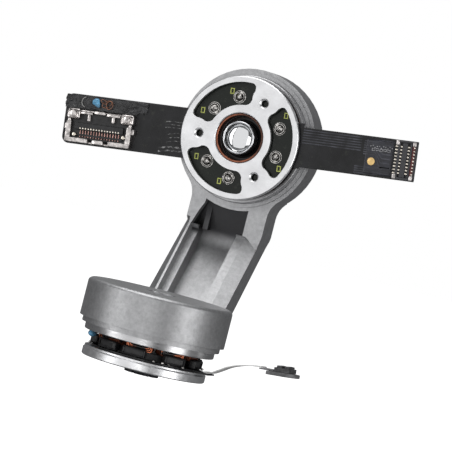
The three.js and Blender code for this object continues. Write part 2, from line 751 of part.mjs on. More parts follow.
function arm() {
  const group = new THREE.Group();
  group.add(
    armFrame(),
    ...rotor("pan", pan, panRingProud),
    part("pan_shaft",
      disc(shaftRadius, panFrontBearing + shaftSetback, pan.back - shaftSetback), steel),
  );
  const rollSide = rollAxisGroup(0);
  const shaftEnd = turned([
    [0, shaftSetback + shaftDish.depth],
    [shaftDish.radius, shaftSetback + shaftDish.slopeDepth],
    [shaftDish.rimRadius, shaftSetback],
    [shaftRadius, shaftSetback],
    [shaftRadius, roll.back - shaftSetback],
    [0, roll.back - shaftSetback],
  ], 32);
  rollSide.add(
    ...rotor("roll", roll, rollRingProud),
    part("roll_shaft", shaftEnd, polished),
    part("roll_bearing_inner_ring",
      ring(shaftRadius + seatGap, raceOuter, -innerRing.proud, innerRing.end, 32), steel),
  );
  group.add(rollSide);
  return group;
}

// ---------------------------------------------------------------- roll head
const boardFront = flangeThickness + boardStandoff;
const boardBack = boardFront + boardThickness;

// A kidney-shaped window with rounded corners, centred on +X.
function flangeWindow() {
  const outer = flangeRadius - windowRim;
  const inner = boreRadius + windowHubRing;
  const corner = (outer - inner) * windowCorner.share;
  const near = windowHalfAngle - windowCorner.innerAngle;
  const far = windowHalfAngle - windowCorner.outerAngle;
  const outerSteps = 12;
  const points = arcPoints(new THREE.Vector2(), outer, -far, far, outerSteps);
  const bow = (from, control, to) => new THREE.QuadraticBezierCurve(from, control, to)
    .getPoints(4).slice(1);
  const upperOuter = polar(outer - corner, windowHalfAngle);
  const upperInner = polar(inner + corner, windowHalfAngle);
  const innerStart = polar(inner, near);
  points.push(...bow(points[points.length - 1], polar(outer, windowHalfAngle), upperOuter));
  points.push(...bow(upperOuter, polar((outer + inner) / 2, windowHalfAngle - windowCorner.bulge),
    upperInner));
  points.push(...bow(upperInner, polar(inner, windowHalfAngle - windowCorner.innerBulge),
    innerStart));
  points.push(...arcPoints(new THREE.Vector2(), inner, near, 0, 5).slice(1, -1));
  const mirrored = points.slice(outerSteps + 1).reverse().map(({ x, y }) => new THREE.Vector2(x, -y));
  return [...points, polar(inner, 0), ...mirrored];
}

function rollFlange() {
  const body = turned([
    [boreRadius + flangeEdge, 0],
    [flangeRadius - flangeEdge, 0],
    [flangeRadius, flangeEdge],
    [flangeRadius, flangeThickness],
    [hubRadius, flangeThickness],
    [hubRadius, roll.hubEnd],
    [boreRadius, roll.hubEnd],
    [boreRadius, flangeEdge],
  ], 56);
  const window = raised(flangeWindow(), -overcut, flangeThickness + overcut);
  const windows = [0, 120, 240].map((angle) => aroundZ(window, angle));
  const holes = screwAngles.map((angle) => {
    const { x, y } = polar(screwCircleRadius, angle);
    const hole = turned([[0, -overcut], [screwHoleRadius + countersink, -overcut],
      [screwHoleRadius + countersink, 0], [screwHoleRadius, countersink],
      [screwHoleRadius, flangeThickness + overcut], [0, flangeThickness + overcut]], 20);
    return hole.translate([x, y, 0]);
  });
  return part("roll_flange", cut(body, [...windows, ...holes]), machined);
}

// Seen from the front, u runs right and v up; local y runs down.
const tailBlock = ([u0, u1], [v0, v1], heights) => block([u0, u1], [-v1, -v0], heights);

function tailEnds(tail, margin) {
  const half = tail.width / 2 - margin;
  return [tail.offset - half, tail.offset + half];
}

function rollFlexCircuit() {
  const heights = [boardFront, boardBack];
  const [leftLow, leftHigh] = tailEnds(leftTail, 0);
  const corner = new THREE.Shape();
  const tipInner = -(leftTail.reach - 2 * tailCorner);
  corner.moveTo(tipInner, -leftHigh);
  corner.lineTo(tipInner, -leftLow);
  corner.lineTo(-leftTail.reach + tailCorner, -leftLow);
  corner.absarc(-leftTail.reach + tailCorner, -leftLow - tailCorner, tailCorner,
    Math.PI / 2, Math.PI, false);
  corner.absarc(-leftTail.reach + tailCorner, -leftHigh + tailCorner, tailCorner,
    Math.PI, 1.5 * Math.PI, false);
  const shoulder = tailShoulder.halfWidth;
  const sheet = join([
    disc(boardRadius, boardFront, boardBack, 56),
    tailBlock([0, rightTail.reach], tailEnds(rightTail, 0), heights),
    tailBlock([tipInner - 0.1, 0], [leftLow, leftHigh], heights),
    raised(corner, boardFront, boardBack),
    tailBlock([0, tailShoulder.reach], [-shoulder, shoulder], heights),
  ]);
  return part("roll_flex_circuit", cut(sheet, [disc(boardInner, 0, boardBack + overcut, 56)]),
    blackFilm);
}

function stiffeners() {
  const heights = [boardBack + seatGap, boardBack + seatGap + stiffenerThickness];
  return [
    part("left_tail_stiffener", tailBlock(
      [-leftTail.reach + stiffenerInset + tailCorner / 3,
        -leftTail.reach + coaxWidth + stiffenerBeyond.left],
      tailEnds(leftTail, leftStiffenerInset), heights), stiffenerGrey),
    part("right_tail_stiffener", tailBlock(
      [rightTail.reach - btbLength - stiffenerBeyond.right, rightTail.reach - stiffenerInset],
      tailEnds(rightTail, stiffenerInset), heights), stiffenerGrey),
  ];
}

function solderPosts() {
  const top = boardFront - seatGap;
  const post = turned([[0, top - postHeight], [postRadius * 0.6, top - 0.9 * postHeight],
    [postRadius, top - 0.4 * postHeight], [postRadius, top], [0, top]], 18);
  return [0, 120, 240].flatMap((middle, window) => [-1, 1].map((side, i) => {
    const { x, y } = polar(postCircleRadius, middle + side * postHalfSpread);
    return part(`roll_solder_post_${2 * window + i + 1}`, post.translate([x, y, 0]), solder);
  }));
}

// Shielded micro-coax receptacle on the left tail: shell, insulator and contact comb.
function coaxConnector() {
  const u0 = -leftTail.reach + coaxEndMargin;
  const u1 = u0 + coaxWidth;
  const v0 = coaxOffset - coaxDepth / 2;
  const v1 = coaxOffset + coaxDepth / 2;
  const seat = boardFront - seatGap;
  const top = seat - coaxHeight;
  const shell = cut(tailBlock([u0, u1], [v0, v1], [top, seat]), [
    tailBlock([u0 + coaxWall, u1 - coaxWall], [v0 + coaxWall, v1 - coaxWall],
      [top - overcut, seat + overcut]),
    tailBlock([u0 + coaxLatchGap.fromEnd, u1 - coaxLatchGap.fromEnd],
      [v1 - coaxLatchGap.depth, v1 + overcut], [top - overcut, seat - coaxLatchGap.sill]),
  ]);
  const inner = coaxWall + seatGap;
  const slotFrom = v0 + coaxSlot.fromEdge;
  const slotTo = slotFrom + coaxSlot.width;
  const slotFloor = seat - coaxSlot.floor;
  const insulator = cut(
    tailBlock([u0 + inner, u1 - inner], [v0 + inner, v1 - inner], [top + coaxInsulatorRecess, seat]),
    [tailBlock([u0 + coaxSlot.fromEnd, u1 - coaxSlot.fromEnd], [slotFrom, slotTo],
      [top - overcut, slotFloor])]);
  const contactSpan = coaxPins * contactPitch;
  const middle = (u0 + u1) / 2;
  const across = [slotFrom + contactClearance, slotTo - contactClearance];
  const bar = tailBlock([middle - contactSpan / 2, middle + contactSpan / 2], across,
    [slotFloor - 1.5 * contactClearance, slotFloor - seatGap]);
  const pins = Array.from({ length: coaxPins }, (_, i) => {
    const at = middle + (i - (coaxPins - 1) / 2) * contactPitch;
    return tailBlock([at - contactWidth / 2, at + contactWidth / 2], across,
      [top + coaxInsulatorRecess + contactClearance, slotFloor - contactClearance]);
  });
  return [
    part("coax_connector_shell", shell, nickel),
    part("coax_connector_insulator", insulator, blackPlastic),
    part("coax_contact_comb", join([bar, ...pins]), gold),
  ];
}

// Board-to-board connector across the end of the right tail.
function boardConnector() {
  const u1 = rightTail.reach - btbEndMargin;
  const u0 = u1 - btbLength;
  const middle = (u0 + u1) / 2;
  const half = btbWidth / 2;
  const v = rightTail.offset;
  const seat = boardFront - seatGap;
  const top = seat - btbHeight;
  const slotFloor = top + btbSlots.depth;
  const slots = btbSlots.places.map((shift) => tailBlock(
    [middle + shift, middle + shift + btbSlots.width],
    [v - half + btbSlots.fromEnd, v + half - btbSlots.fromEnd], [top - overcut, slotFloor]));
  const housingBlock = cut(tailBlock([u0, u1], [v - half, v + half], [top, seat]), slots);
  const railHalf = half - btbSlots.fromEnd - 1.5 * contactClearance;
  const comb = (place) => {
    const from = middle + place + btbContact.clear;
    const rail = tailBlock([from, from + btbContact.rail], [v - railHalf, v + railHalf],
      [top + btbContact.railDrop, slotFloor - seatGap]);
    const pins = Array.from({ length: btbPins }, (_, i) => {
      const at = v + (i - (btbPins - 1) / 2) * contactPitch;
      return tailBlock([from, from + btbContact.length],
        [at - contactWidth / 2, at + contactWidth / 2],
        [top + btbContact.tipDrop, slotFloor - seatGap]);
    });
    return join([rail, ...pins]);
  };
  return [
    part("board_connector_housing", housingBlock, blackPlastic),
    part("board_connector_contacts_a", comb(btbSlots.places[0]), gold),
    part("board_connector_contacts_b", comb(btbSlots.places[1]), gold),
  ];
}

function testPad() {
  const top = boardFront - seatGap;
  const pad = disc(testPadRadius, top - testPadHeight, top, 24)
    .translate([testPadReach, -(rightTail.offset - testPadDrop), 0]);
  return part("right_tail_test_pad", pad, gold);
}

function rollHead() {
  const group = rollAxisGroup(rollRestTurn);
  const bronzeLiner = ring(
    bearingOuter - boreLiner.thickness, bearingOuter, boreLiner.from, boreLiner.to, 32);
  group.add(
    rollFlange(),
    part("roll_bronze_liner", bronzeLiner, bronze),
    part("roll_bearing_front", bearing(frontSealStart, raceOuter + runningFit), blackSeal),
    part("roll_bearing_rear",
      bearing(roll.hubEnd - bearingHeight - bearingSetback, shaftRadius + runningFit), steel),
    rollFlexCircuit(),
    ...stiffeners(),
    ...solderPosts(),
    ...coaxConnector(),
    ...boardConnector(),
    testPad(),
    ...stator("roll", roll),
  );
  return group;
}

// ---------------------------------------------------------------- the assembly
const group = new THREE.Group();
group.add(panBase(), arm(), rollHead());

export default group;
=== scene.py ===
"""Looks of a two-axis camera gimbal arm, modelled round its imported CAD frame.

Each operator makes one piece or one family of pieces in the frame's own metres.
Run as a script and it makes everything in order.
"""

import json
import math

import bpy
from bpy.props import FloatProperty, FloatVectorProperty, IntProperty, PointerProperty
from mathutils import Euler, Matrix, Vector

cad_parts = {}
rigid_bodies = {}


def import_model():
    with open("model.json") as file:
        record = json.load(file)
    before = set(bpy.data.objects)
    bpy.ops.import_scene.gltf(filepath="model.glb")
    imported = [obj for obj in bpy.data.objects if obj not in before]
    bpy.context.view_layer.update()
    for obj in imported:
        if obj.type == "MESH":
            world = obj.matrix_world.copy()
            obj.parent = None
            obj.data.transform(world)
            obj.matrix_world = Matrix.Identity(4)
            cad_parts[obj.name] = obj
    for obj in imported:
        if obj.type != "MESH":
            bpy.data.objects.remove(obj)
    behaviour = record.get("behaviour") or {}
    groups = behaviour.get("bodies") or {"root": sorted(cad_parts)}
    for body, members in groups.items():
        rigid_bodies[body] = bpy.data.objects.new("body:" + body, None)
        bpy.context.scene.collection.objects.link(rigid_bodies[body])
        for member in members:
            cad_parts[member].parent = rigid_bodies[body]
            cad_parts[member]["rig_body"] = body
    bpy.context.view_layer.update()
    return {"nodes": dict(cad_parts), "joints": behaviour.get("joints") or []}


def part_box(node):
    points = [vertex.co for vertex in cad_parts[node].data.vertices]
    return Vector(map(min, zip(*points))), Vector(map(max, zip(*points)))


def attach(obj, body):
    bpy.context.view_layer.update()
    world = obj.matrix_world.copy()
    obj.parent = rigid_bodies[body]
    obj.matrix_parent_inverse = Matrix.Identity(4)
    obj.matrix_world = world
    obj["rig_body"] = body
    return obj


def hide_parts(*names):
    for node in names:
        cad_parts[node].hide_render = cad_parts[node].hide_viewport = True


bl_info = {
    "name": "Camera Gimbal Arm",
    "version": (1, 0, 0),
    "blender": (4, 5, 0),
    "location": "3D View > Sidebar > Gimbal",
    "description": "Models the visible surfaces of a two-axis camera gimbal arm",
    "category": "Object",
}

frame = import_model()
NODES = frame["nodes"]
JOINTS = {joint["name"]: joint for joint in frame["joints"]}

MM = 0.001
REST_TURN = math.radians(6.5)  # the roll head's stored position, seen from the front
TOOTH_COUNT = 9

# The head frame: x along the right tail, y up across it, z out of the flange.
HEAD = Matrix.Translation(JOINTS["roll"]["pos_m"]) @ Matrix((
    (math.cos(REST_TURN), -math.sin(REST_TURN), 0, 0),
    (0, 0, -1, 0),
    (math.sin(REST_TURN), math.cos(REST_TURN), 0, 0),
    (0, 0, 0, 1),
))
PAN = Matrix.Identity(4)
BOARD_FACE = -0.95  # front of the flex circuit in the head frame, in millimetres


# ---------------------------------------------------------------- sizes and colours
class GimbalSizes(bpy.types.PropertyGroup):
    """Sizes of the detail that the CAD solids leave out."""

    edge_break: FloatProperty(
        name="Casting edge", description="Rounding of the arm's outer edges",
        default=0.00014, min=0.0, unit="LENGTH")
    machined_edge: FloatProperty(
        name="Machined edge", description="Chamfer on the flange and the base disc",
        default=0.00013, min=0.0, unit="LENGTH")
    wire_radius: FloatProperty(
        name="Wire radius", description="Radius of the winding wire",
        default=0.0001, min=0.00002, unit="LENGTH")
    wire_turns: IntProperty(
        name="Turns", description="Turns side by side on each tooth", default=8, min=2)
    trace_height: FloatProperty(
        name="Trace height", description="Height of the conductors under the film",
        default=0.00004, min=0.0, unit="LENGTH")
    floor_drop: FloatProperty(
        name="Floor drop", description="Distance from the base plate down to the floor",
        default=0.04, min=0.0, unit="LENGTH")


def shade(name, description, default):
    return FloatVectorProperty(name=name, description=description, subtype="COLOR", size=3, min=0,
                               max=1, default=default)


class GimbalColours(bpy.types.PropertyGroup):
    """Base colours of the finishes."""

    anodised: shade("Anodised", "Bead-blasted grey of the arm", (0.47, 0.472, 0.48))
    machined: shade("Machined", "Bright turned aluminium", (0.86, 0.862, 0.875))
    film: shade("Film", "Black cover film of the flex circuits", (0.012, 0.012, 0.0135))
    copper: shade("Copper", "Enamelled winding wire", (0.52, 0.17, 0.09))
    legend: shade("Legend", "Printed marks beside the solder joints", (0.6, 0.66, 0.16))
    floor: shade("Floor", "Plain pale floor", (0.9, 0.9, 0.9))


def sizes():
    return bpy.context.scene.gimbal_sizes


def colours():
    return bpy.context.scene.gimbal_colours


# ---------------------------------------------------------------- materials
class Shader:
    """A node material being put together; lengths in its patterns are millimetres."""

    def __init__(self, name, colour, metallic, roughness):
        self.material = bpy.data.materials.new(name)
        self.material.use_nodes = True
        self.nodes = self.material.node_tree.nodes
        self.links = self.material.node_tree.links
        self.bsdf = self.nodes["Principled BSDF"]
        self.set("Base Color", (*colour, 1))
        self.set("Metallic", metallic)
        self.set("Roughness", roughness)
        self.colour = colour
        self.height = None

    def set(self, socket, value):
        self.bsdf.inputs[socket].default_value = value

    def feed(self, output, socket):
        self.links.new(output, self.bsdf.inputs[socket])

    def node(self, kind, sockets, **settings):
        """A new node; each of its sockets takes a value or another node's output."""
        node = self.nodes.new("ShaderNode" + kind)
        for setting, value in settings.items():
            setattr(node, setting, value)
        for name, value in sockets.items():
            if isinstance(value, bpy.types.NodeSocket):
                self.links.new(value, node.inputs[name])
            else:
                node.inputs[name].default_value = value
        return node

    def place(self, turn=(0, 0, 0), centre=(0, 0, 0)):
        """Object coordinates in millimetres, turned about a centre given in metres."""
        shift = -(Euler(turn).to_matrix() @ (Vector(centre) / MM))
        return self.node("Mapping", {
            "Vector": self.node("TexCoord", {}).outputs["Object"],
            "Scale": (1 / MM,) * 3, "Rotation": turn, "Location": shift}).outputs["Vector"]

    def noise(self, vector, size, detail=4.0, roughness=0.55):
        return self.node("TexNoise", {"Vector": vector, "Scale": 1 / size, "Detail": detail,
                                      "Roughness": roughness}).outputs["Fac"]

    def stretched(self, vector, factors):
        return self.node("VectorMath", {0: vector, 1: factors},
                         operation="MULTIPLY").outputs["Vector"]

    def rings(self, vector, pitch, wander=0.6):
        """Turning marks round the vector's Z axis."""
        return self.node("TexWave", {
            "Vector": vector, "Scale": math.pi / (10 * pitch), "Distortion": wander, "Detail": 2,
            "Detail Scale": 1.5}, wave_type="RINGS", rings_direction="Z").outputs["Fac"]

    def bands(self, vector, pitch, direction="X", wander=0.0):
        return self.node("TexWave", {
            "Vector": vector, "Scale": math.pi / (10 * pitch), "Distortion": wander},
            wave_type="BANDS", bands_direction=direction).outputs["Fac"]

    def fade(self, value, start, end):
        """0 at the start and 1 at the end."""
        return self.node("MapRange", {"Value": value, "From Min": start,
                                      "From Max": end}).outputs["Result"]

    def ramp(self, fac, stops):
        node = self.node("ValToRGB", {"Fac": fac})
        for element, (position, value) in zip(node.color_ramp.elements, stops):
            element.position = position
            element.color = (value, value, value, 1) if isinstance(value, float) else (*value, 1)
        return node.outputs["Color"]

    def vary_colour(self, fac, dark=0.85, light=1.1, low=0.35, high=0.65):
        shades = [tuple(min(1.0, c * k) for c in self.colour) for k in (dark, light)]
        self.feed(self.ramp(fac, [(low, shades[0]), (high, shades[1])]), "Base Color")

    def vary_roughness(self, fac, low, high):
        self.feed(self.ramp(fac, [(0.3, low), (0.7, high)]), "Roughness")

    def mark(self, mask, colour, metallic=None):
        """Lays a colour over the base where the mask is white."""
        base = self.bsdf.inputs["Base Color"]
        under = base.links[0].from_socket if base.is_linked else tuple(base.default_value)
        mix = self.node("Mix", {"Factor": mask, "A": under, "B": (*colour, 1)}, data_type="RGBA")
        self.feed(mix.outputs["Result"], "Base Color")
        if metallic:
            self.feed(self.ramp(mask, [(0.0, metallic[0]), (1.0, metallic[1])]), "Metallic")

    def within(self, vector, edges):
        """White past every edge (axis, out, in), fading from out to in along its axis."""
        split = self.node("SeparateXYZ", {"Vector": vector})
        mask = 1.0
        for axis, outside, inside in edges:
            step = self.fade(split.outputs[axis], outside, inside)
            mask = self.node("Math", {0: mask, 1: step}, operation="MULTIPLY").outputs["Value"]
        return mask

    def bump(self, fac, depth, strength=1.0):
        """Adds a relief of a depth in millimetres on top of any earlier one."""
        sockets = {"Distance": depth * MM, "Strength": strength, "Height": fac}
        if self.height:
            sockets["Normal"] = self.height
        self.height = self.node("Bump", sockets).outputs["Normal"]
        self.feed(self.height, "Normal")


ROLL_CENTRE = tuple(JOINTS["roll"]["pos_m"])
ABOUT_ROLL = {"turn": (math.pi / 2, 0, 0), "centre": ROLL_CENTRE}


def grained(name, colour, metallic, roughness, shades=None, gloss=None, reliefs=(), place=None):
    """A finish of noises: shades are (noise, dark, light), gloss is (noise, low, high) and each
    relief is (pattern, its values, depth, strength)."""
    shader = Shader(name, colour, metallic, roughness)
    where = shader.place(**(place or {}))
    if shades:
        shader.vary_colour(shader.noise(where, *shades[0]), *shades[1:])
    if gloss:
        shader.vary_roughness(shader.noise(where, *gloss[0]), *gloss[1:])
    for pattern, values, depth, strength in reliefs:
        shader.bump(getattr(shader, pattern)(where, *values), depth, strength)
    return shader, where


def anodised_grey():
    """Bead-blasted, clear-anodised aluminium of the arm and both cans.

    The cable pocket under the roll can is painted near-black as painted shade from the can's
    overhang.
    """
    shader, where = grained(
        "anodised_grey", colours().anodised, 0.94, 0.47, ((0.55, 6, 0.75), 0.86, 1.12),
        ((1.2, 5), 0.43, 0.51),
        [("noise", (0.22, 4, 0.8), 0.02, 0.8), ("noise", (0.8, 2), 0.012, 0.5)])
    # Painted shade: a box round the cable pocket under the roll can, darkened in the colour.
    shaded_pocket = ((0, -5.2, -5.0), (0, 3.1, 2.9), (1, 19.9, 20.15), (1, 22.8, 22.6),
              (2, 17.4, 19.9), (2, 24.9, 24.6))
    shader.mark(shader.within(where, shaded_pocket), (0.1, 0.1, 0.104))
    return shader


def machined_bright(name, place):
    """Turned aluminium with fine circular tool marks and a few handling scratches."""
    shader, where = grained(
        name, colours().machined, 1.0, 0.24, ((3.2, 4), 0.88, 1.06), ((0.8, 6, 0.65), 0.32, 0.45),
        [("rings", (0.16,), 0.0006, 0.7), ("rings", (0.43, 1.4), 0.001, 0.5)], place)
    scratch = shader.stretched(where, (0.16, 2.2, 1))
    shader.mark(shader.ramp(shader.noise(scratch, 0.3, 2), [(0.62, 0.0), (0.7, 0.5)]), (1, 1, 1))
    return shader


def machined_flange():
    return machined_bright("machined_flange", ABOUT_ROLL)


def machined_disc():
    return machined_bright("machined_disc", {})


def turned_steel():
    """Rotor rings: turned steel."""
    shader, where = grained("turned_steel", (0.62, 0.62, 0.63), 1.0, 0.24, ((2.5, 4), 0.8, 1.1),
                            reliefs=[("bands", (0.12, "Z", 0.4), 0.002, 0.5)])
    shader.vary_roughness(shader.noise(shader.stretched(where, (0.4, 0.4, 3)), 0.5, 5), 0.26, 0.4)
    return shader


def varnished_copper():
    """Enamelled wire with black impregnating varnish lying in patches."""
    shader, where = grained("varnished_copper", colours().copper, 0.9, 0.3, ((0.8, 3), 0.7, 1.15),
                            reliefs=[("noise", (0.3, 3), 0.01, 0.5)])
    mask = shader.ramp(shader.noise(where, 2.6, 3, 0.6), [(0.5, 0.0), (0.56, 1.0)])
    shader.mark(mask, (0.012, 0.011, 0.011), (0.9, 0.0))
    return shader


def bronze_bush():
    """Bronze liner, darkened on the side away from the light."""
    shader, where = grained("bronze_bush", (0.34, 0.13, 0.08), 1.0, 0.26, ((1.2, 4), 0.75, 1.15),
                            None, [("rings", (0.11,), 0.004, 0.6)], ABOUT_ROLL)
    side = shader.node("VectorMath", {0: where, 1: (0.24, -0.16, 0)}, operation="DOT_PRODUCT")
    shader.mark(shader.ramp(side.outputs["Value"], [(0.1, 0.0), (0.55, 0.85)]), (0.05, 0.035, 0.03))
    return shader


FILM_SHEEN = 0.35  # specular level of the satin cover film


def cover_film():
    """Black satin cover film of the flex circuits, slightly wavy over its adhesive."""
    shader, _ = grained(
        "cover_film", colours().film, 0.0, 0.36, ((3.0, 4), 0.7, 1.7), ((1.6, 5), 0.27, 0.46),
        [("noise", (2.4, 3), 0.03, 0.6), ("noise", (0.1, 3), 0.002, 0.5)])
    shader.set("Specular IOR Level", FILM_SHEEN)
    return shader


def board_film():
    """Cover film that turns to dark green lacquer on the round board under the flange."""
    shader, where = grained(
        "board_film", colours().film, 0.0, 0.36, ((3.0, 4), 0.6, 1.6), None,
        [("noise", (2.4, 3), 0.03, 0.6), ("noise", (0.5, 4), 0.012, 0.6)], ABOUT_ROLL)
    shader.set("Specular IOR Level", FILM_SHEEN)
    from_axis = shader.node("VectorMath", {0: shader.stretched(where, (1, 1, 0))},
                            operation="LENGTH").outputs["Value"]
    shader.mark(shader.fade(from_axis, 8.5, 8.2), (0.007, 0.0105, 0.007))
    streaks = shader.noise(shader.stretched(where, (1, 0.45, 1)), 1.3, 4, 0.6)
    shader.vary_roughness(streaks, 0.12, 0.4)
    tracks = shader.ramp(shader.noise(where, 0.8, 3, 0.7), [(0.6, 0.0), (0.66, 0.3)])
    shader.mark(tracks, (0.06, 0.065, 0.05))
    return shader


def gloss_film():
    """Smooth lacquer over the fanned conductors, with an oily purple-blue sheen painted into its
    colour in streaks.
    """
    shader, where = grained("gloss_film", (0.02, 0.02, 0.027), 0.0, 0.22, None, None,
                            [("noise", (0.7, 3), 0.02, 0.6)])
    streaks = shader.noise(shader.stretched(where, (0.8, 1, 1.6)), 1.1, 4, 0.6)
    # Painted sheen: lighter purple-blue streaks in the colour stand in for the lacquer's
    # reflection.
    shader.mark(shader.ramp(streaks, [(0.45, 0.0), (0.62, 0.7)]), (0.035, 0.037, 0.055))
    shader.vary_roughness(streaks, 0.16, 0.36)
    return shader


def scuffed_film():
    """Film rubbed through to bright metal in short strokes."""
    shader, where = grained("scuffed_film", (0.03, 0.03, 0.032), 0.4, 0.4, None, None,
                            [("noise", (0.3, 4), 0.02, 0.8)])
    strokes = shader.noise(shader.stretched(where, (0.7, 1, 1)), 0.35, 5, 0.7)
    shader.mark(shader.ramp(strokes, [(0.5, 0.0), (0.6, 1.0)]), (0.3, 0.3, 0.3))
    return shader


def epoxy_black():
    """Glossy black potting bead with a lumpy skin."""
    shader, where = grained(
        "epoxy_black", (0.016, 0.016, 0.017), 0.0, 0.2, ((1.2, 5, 0.7), 0.5, 3.2, 0.4, 0.68),
        ((0.6, 5), 0.12, 0.42), [("noise", (0.5, 5, 0.7), 0.12, 0.9)])
    scratch = shader.noise(shader.stretched(where, (0.5, 1, 1.4)), 0.35, 3, 0.6)
    shader.mark(shader.ramp(scratch, [(0.62, 0.0), (0.7, 0.6)]), (0.2, 0.2, 0.2))
    return shader


def legend_ink():
    return grained("legend_ink", colours().legend, 0.0, 0.55, ((0.25, 4), 0.75, 1.15))[0]


# Finishes that are only grained: colour, metallic, roughness, shades, gloss, reliefs, place.
PLAIN_FINISHES = {
    "ground_steel": ((0.68, 0.69, 0.71), 1.0, 0.16, ((1.4, 3), 0.85, 1.08), ((0.3, 5), 0.12, 0.24)),
    "lapped_steel": ((0.86, 0.87, 0.88), 1.0, 0.04, None, ((0.7, 3), 0.02, 0.07),
                     [("noise", (0.9, 2), 0.02, 0.5)]),
    "blackened_steel": ((0.03, 0.03, 0.034), 0.8, 0.42, ((1.0, 4), 0.6, 1.8), None,
                        [("noise", (0.12, 3), 0.006, 0.6)]),
    "magnet_plating": ((0.3, 0.31, 0.32), 0.95, 0.36, ((1.1, 3), 0.8, 1.15), None,
                       [("noise", (0.2, 3), 0.004, 0.5)]),
    "coated_lamination": (
        (0.014, 0.014, 0.016), 0.1, 0.38, ((0.9, 3), 0.6, 1.7), ((0.5, 4), 0.28, 0.5),
        [("bands", (0.2, "Z", 0.3), 0.012, 0.5), ("noise", (0.25, 3), 0.03, 0.5)]),
    "black_seal": ((0.012, 0.012, 0.013), 0.0, 0.38, None, ((0.9, 4), 0.28, 0.5),
                   [("rings", (0.3, 0.1), 0.01, 0.6)], ABOUT_ROLL),
    "trace_film": ((0.05, 0.051, 0.062), 0.3, 0.34, ((1.6, 4), 0.4, 1.8), None,
                   [("noise", (0.4, 3), 0.01, 0.5)]),
    "pale_film": ((0.9, 0.9, 0.89), 0.0, 0.35, ((1.5, 3), 0.9, 1.06), None,
                  [("bands", (0.3, "Y", 0.2), 0.004, 0.5)]),
    "stiffener_laminate": (
        (0.13, 0.13, 0.135), 0.0, 0.5, ((0.9, 4), 0.6, 1.5), None,
        [("bands", (0.22, "X"), 0.004, 0.6), ("bands", (0.22, "Z"), 0.004, 0.6)]),
    "moulded_black": (
        (0.012, 0.012, 0.013), 0.0, 0.42, ((0.5, 3), 0.7, 1.9), ((0.4, 4), 0.32, 0.52),
        [("noise", (0.15, 3), 0.004, 0.6)]),
    "moulded_grey": ((0.04, 0.04, 0.042), 0.0, 0.34, ((0.4, 3), 0.5, 2.2), None,
                     [("noise", (0.2, 3), 0.01, 0.6)]),
    "nickel_sheet": (
        (0.72, 0.68, 0.66), 1.0, 0.22, ((0.6, 4, 0.65), 0.4, 1.25), ((0.35, 4), 0.14, 0.4),
        [("noise", (0.25, 4), 0.02, 0.5)]),
    "dull_tin": ((0.34, 0.34, 0.35), 0.8, 0.4, ((0.3, 3), 0.5, 1.4)),
    "gold_pad": ((0.86, 0.6, 0.26), 0.85, 0.42, ((0.5, 3), 0.9, 1.1)),
    "tinned_contact": ((0.82, 0.76, 0.66), 1.0, 0.22, ((0.3, 3), 0.75, 1.1)),
    "dull_copper": ((0.62, 0.36, 0.31), 1.0, 0.32, ((0.25, 3), 0.55, 1.2)),
    "lead_wire": ((0.28, 0.13, 0.08), 0.5, 0.35, ((0.5, 3), 0.7, 1.3)),
    "tin_solder": (
        (0.7, 0.68, 0.65), 1.0, 0.18, ((0.45, 5, 0.7), 0.12, 1.35), ((0.2, 4), 0.08, 0.4),
        [("noise", (0.28, 4, 0.7), 0.07, 0.9)]),
    "blue_adhesive": ((0.16, 0.42, 0.66), 0.0, 0.25, ((0.5, 4), 0.7, 1.5), None,
                      [("noise", (0.3, 3), 0.04, 0.6)]),
    "connector_grey": ((0.05, 0.05, 0.055), 0.0, 0.45, ((0.2, 3), 0.8, 1.2)),
    "red_brown_lacquer": ((0.11, 0.012, 0.012), 0.0, 0.45, ((0.2, 3), 0.8, 1.2)),
    "pale_fibre": ((0.5, 0.5, 0.48), 0.0, 0.45, ((0.2, 3), 0.8, 1.2)),
}
MADE_FINISHES = {maker.__name__: maker for maker in (
    anodised_grey, machined_flange, machined_disc, turned_steel, varnished_copper, bronze_bush,
    cover_film, board_film, gloss_film, scuffed_film, epoxy_black, legend_ink)}


MATERIALS = {}


def paint(piece, finish):
    """Gives a piece the finish with this name, which is made when it is first used."""
    if finish not in MATERIALS:
        maker = MADE_FINISHES.get(finish)
        shader = maker() if maker else grained(finish, *PLAIN_FINISHES[finish])[0]
        MATERIALS[finish] = shader.material
    piece.data.materials.clear()
    piece.data.materials.append(MATERIALS[finish])


# ---------------------------------------------------------------- modelling by hand
def clear_selection():
    if bpy.context.object and bpy.context.object.mode != "OBJECT":
        bpy.ops.object.mode_set(mode="OBJECT")
    bpy.ops.object.select_all(action="DESELECT")


def added(name):
    """The object that the last operator added, under its own name."""
    piece = bpy.context.object
    piece.name = name
    return piece


def apply_place():
    """Puts the active object's place, turn and scale into its mesh."""
    bpy.ops.object.transform_apply(location=True, rotation=True, scale=True)


def take(piece):
    clear_selection()
    piece.select_set(True)
    bpy.context.view_layer.objects.active = piece
    return piece


def edit_all(piece):
    take(piece)
    bpy.ops.object.mode_set(mode="EDIT")
    bpy.ops.mesh.select_mode(type="VERT")
    bpy.ops.mesh.select_all(action="SELECT")


def pick(piece, mode, parts, test):
    """Edit mode with only the parts of the mesh that pass the test selected."""
    take(piece)
    bpy.ops.object.mode_set(mode="EDIT")
    bpy.ops.mesh.select_mode(type=mode)
    bpy.ops.mesh.select_all(action="DESELECT")
    bpy.ops.object.mode_set(mode="OBJECT")
    for part in parts:
        part.select = test(part)
    bpy.ops.object.mode_set(mode="EDIT")


def select_points(piece, test):
    """Selects the vertices whose place passes the test."""
    pick(piece, "VERT", piece.data.vertices, lambda vertex: test(vertex.co))


def select_faces(piece, test):
    """Selects the faces whose normal passes the test."""
    pick(piece, "FACE", piece.data.polygons, lambda face: test(face.normal))


def polar(radius, angle, height=0.0):
    return Vector((radius * math.cos(angle), radius * math.sin(angle), height))


def leave_edit():
    bpy.ops.object.mode_set(mode="OBJECT")


def shift_selected(offset):
    bpy.ops.transform.translate(value=offset)


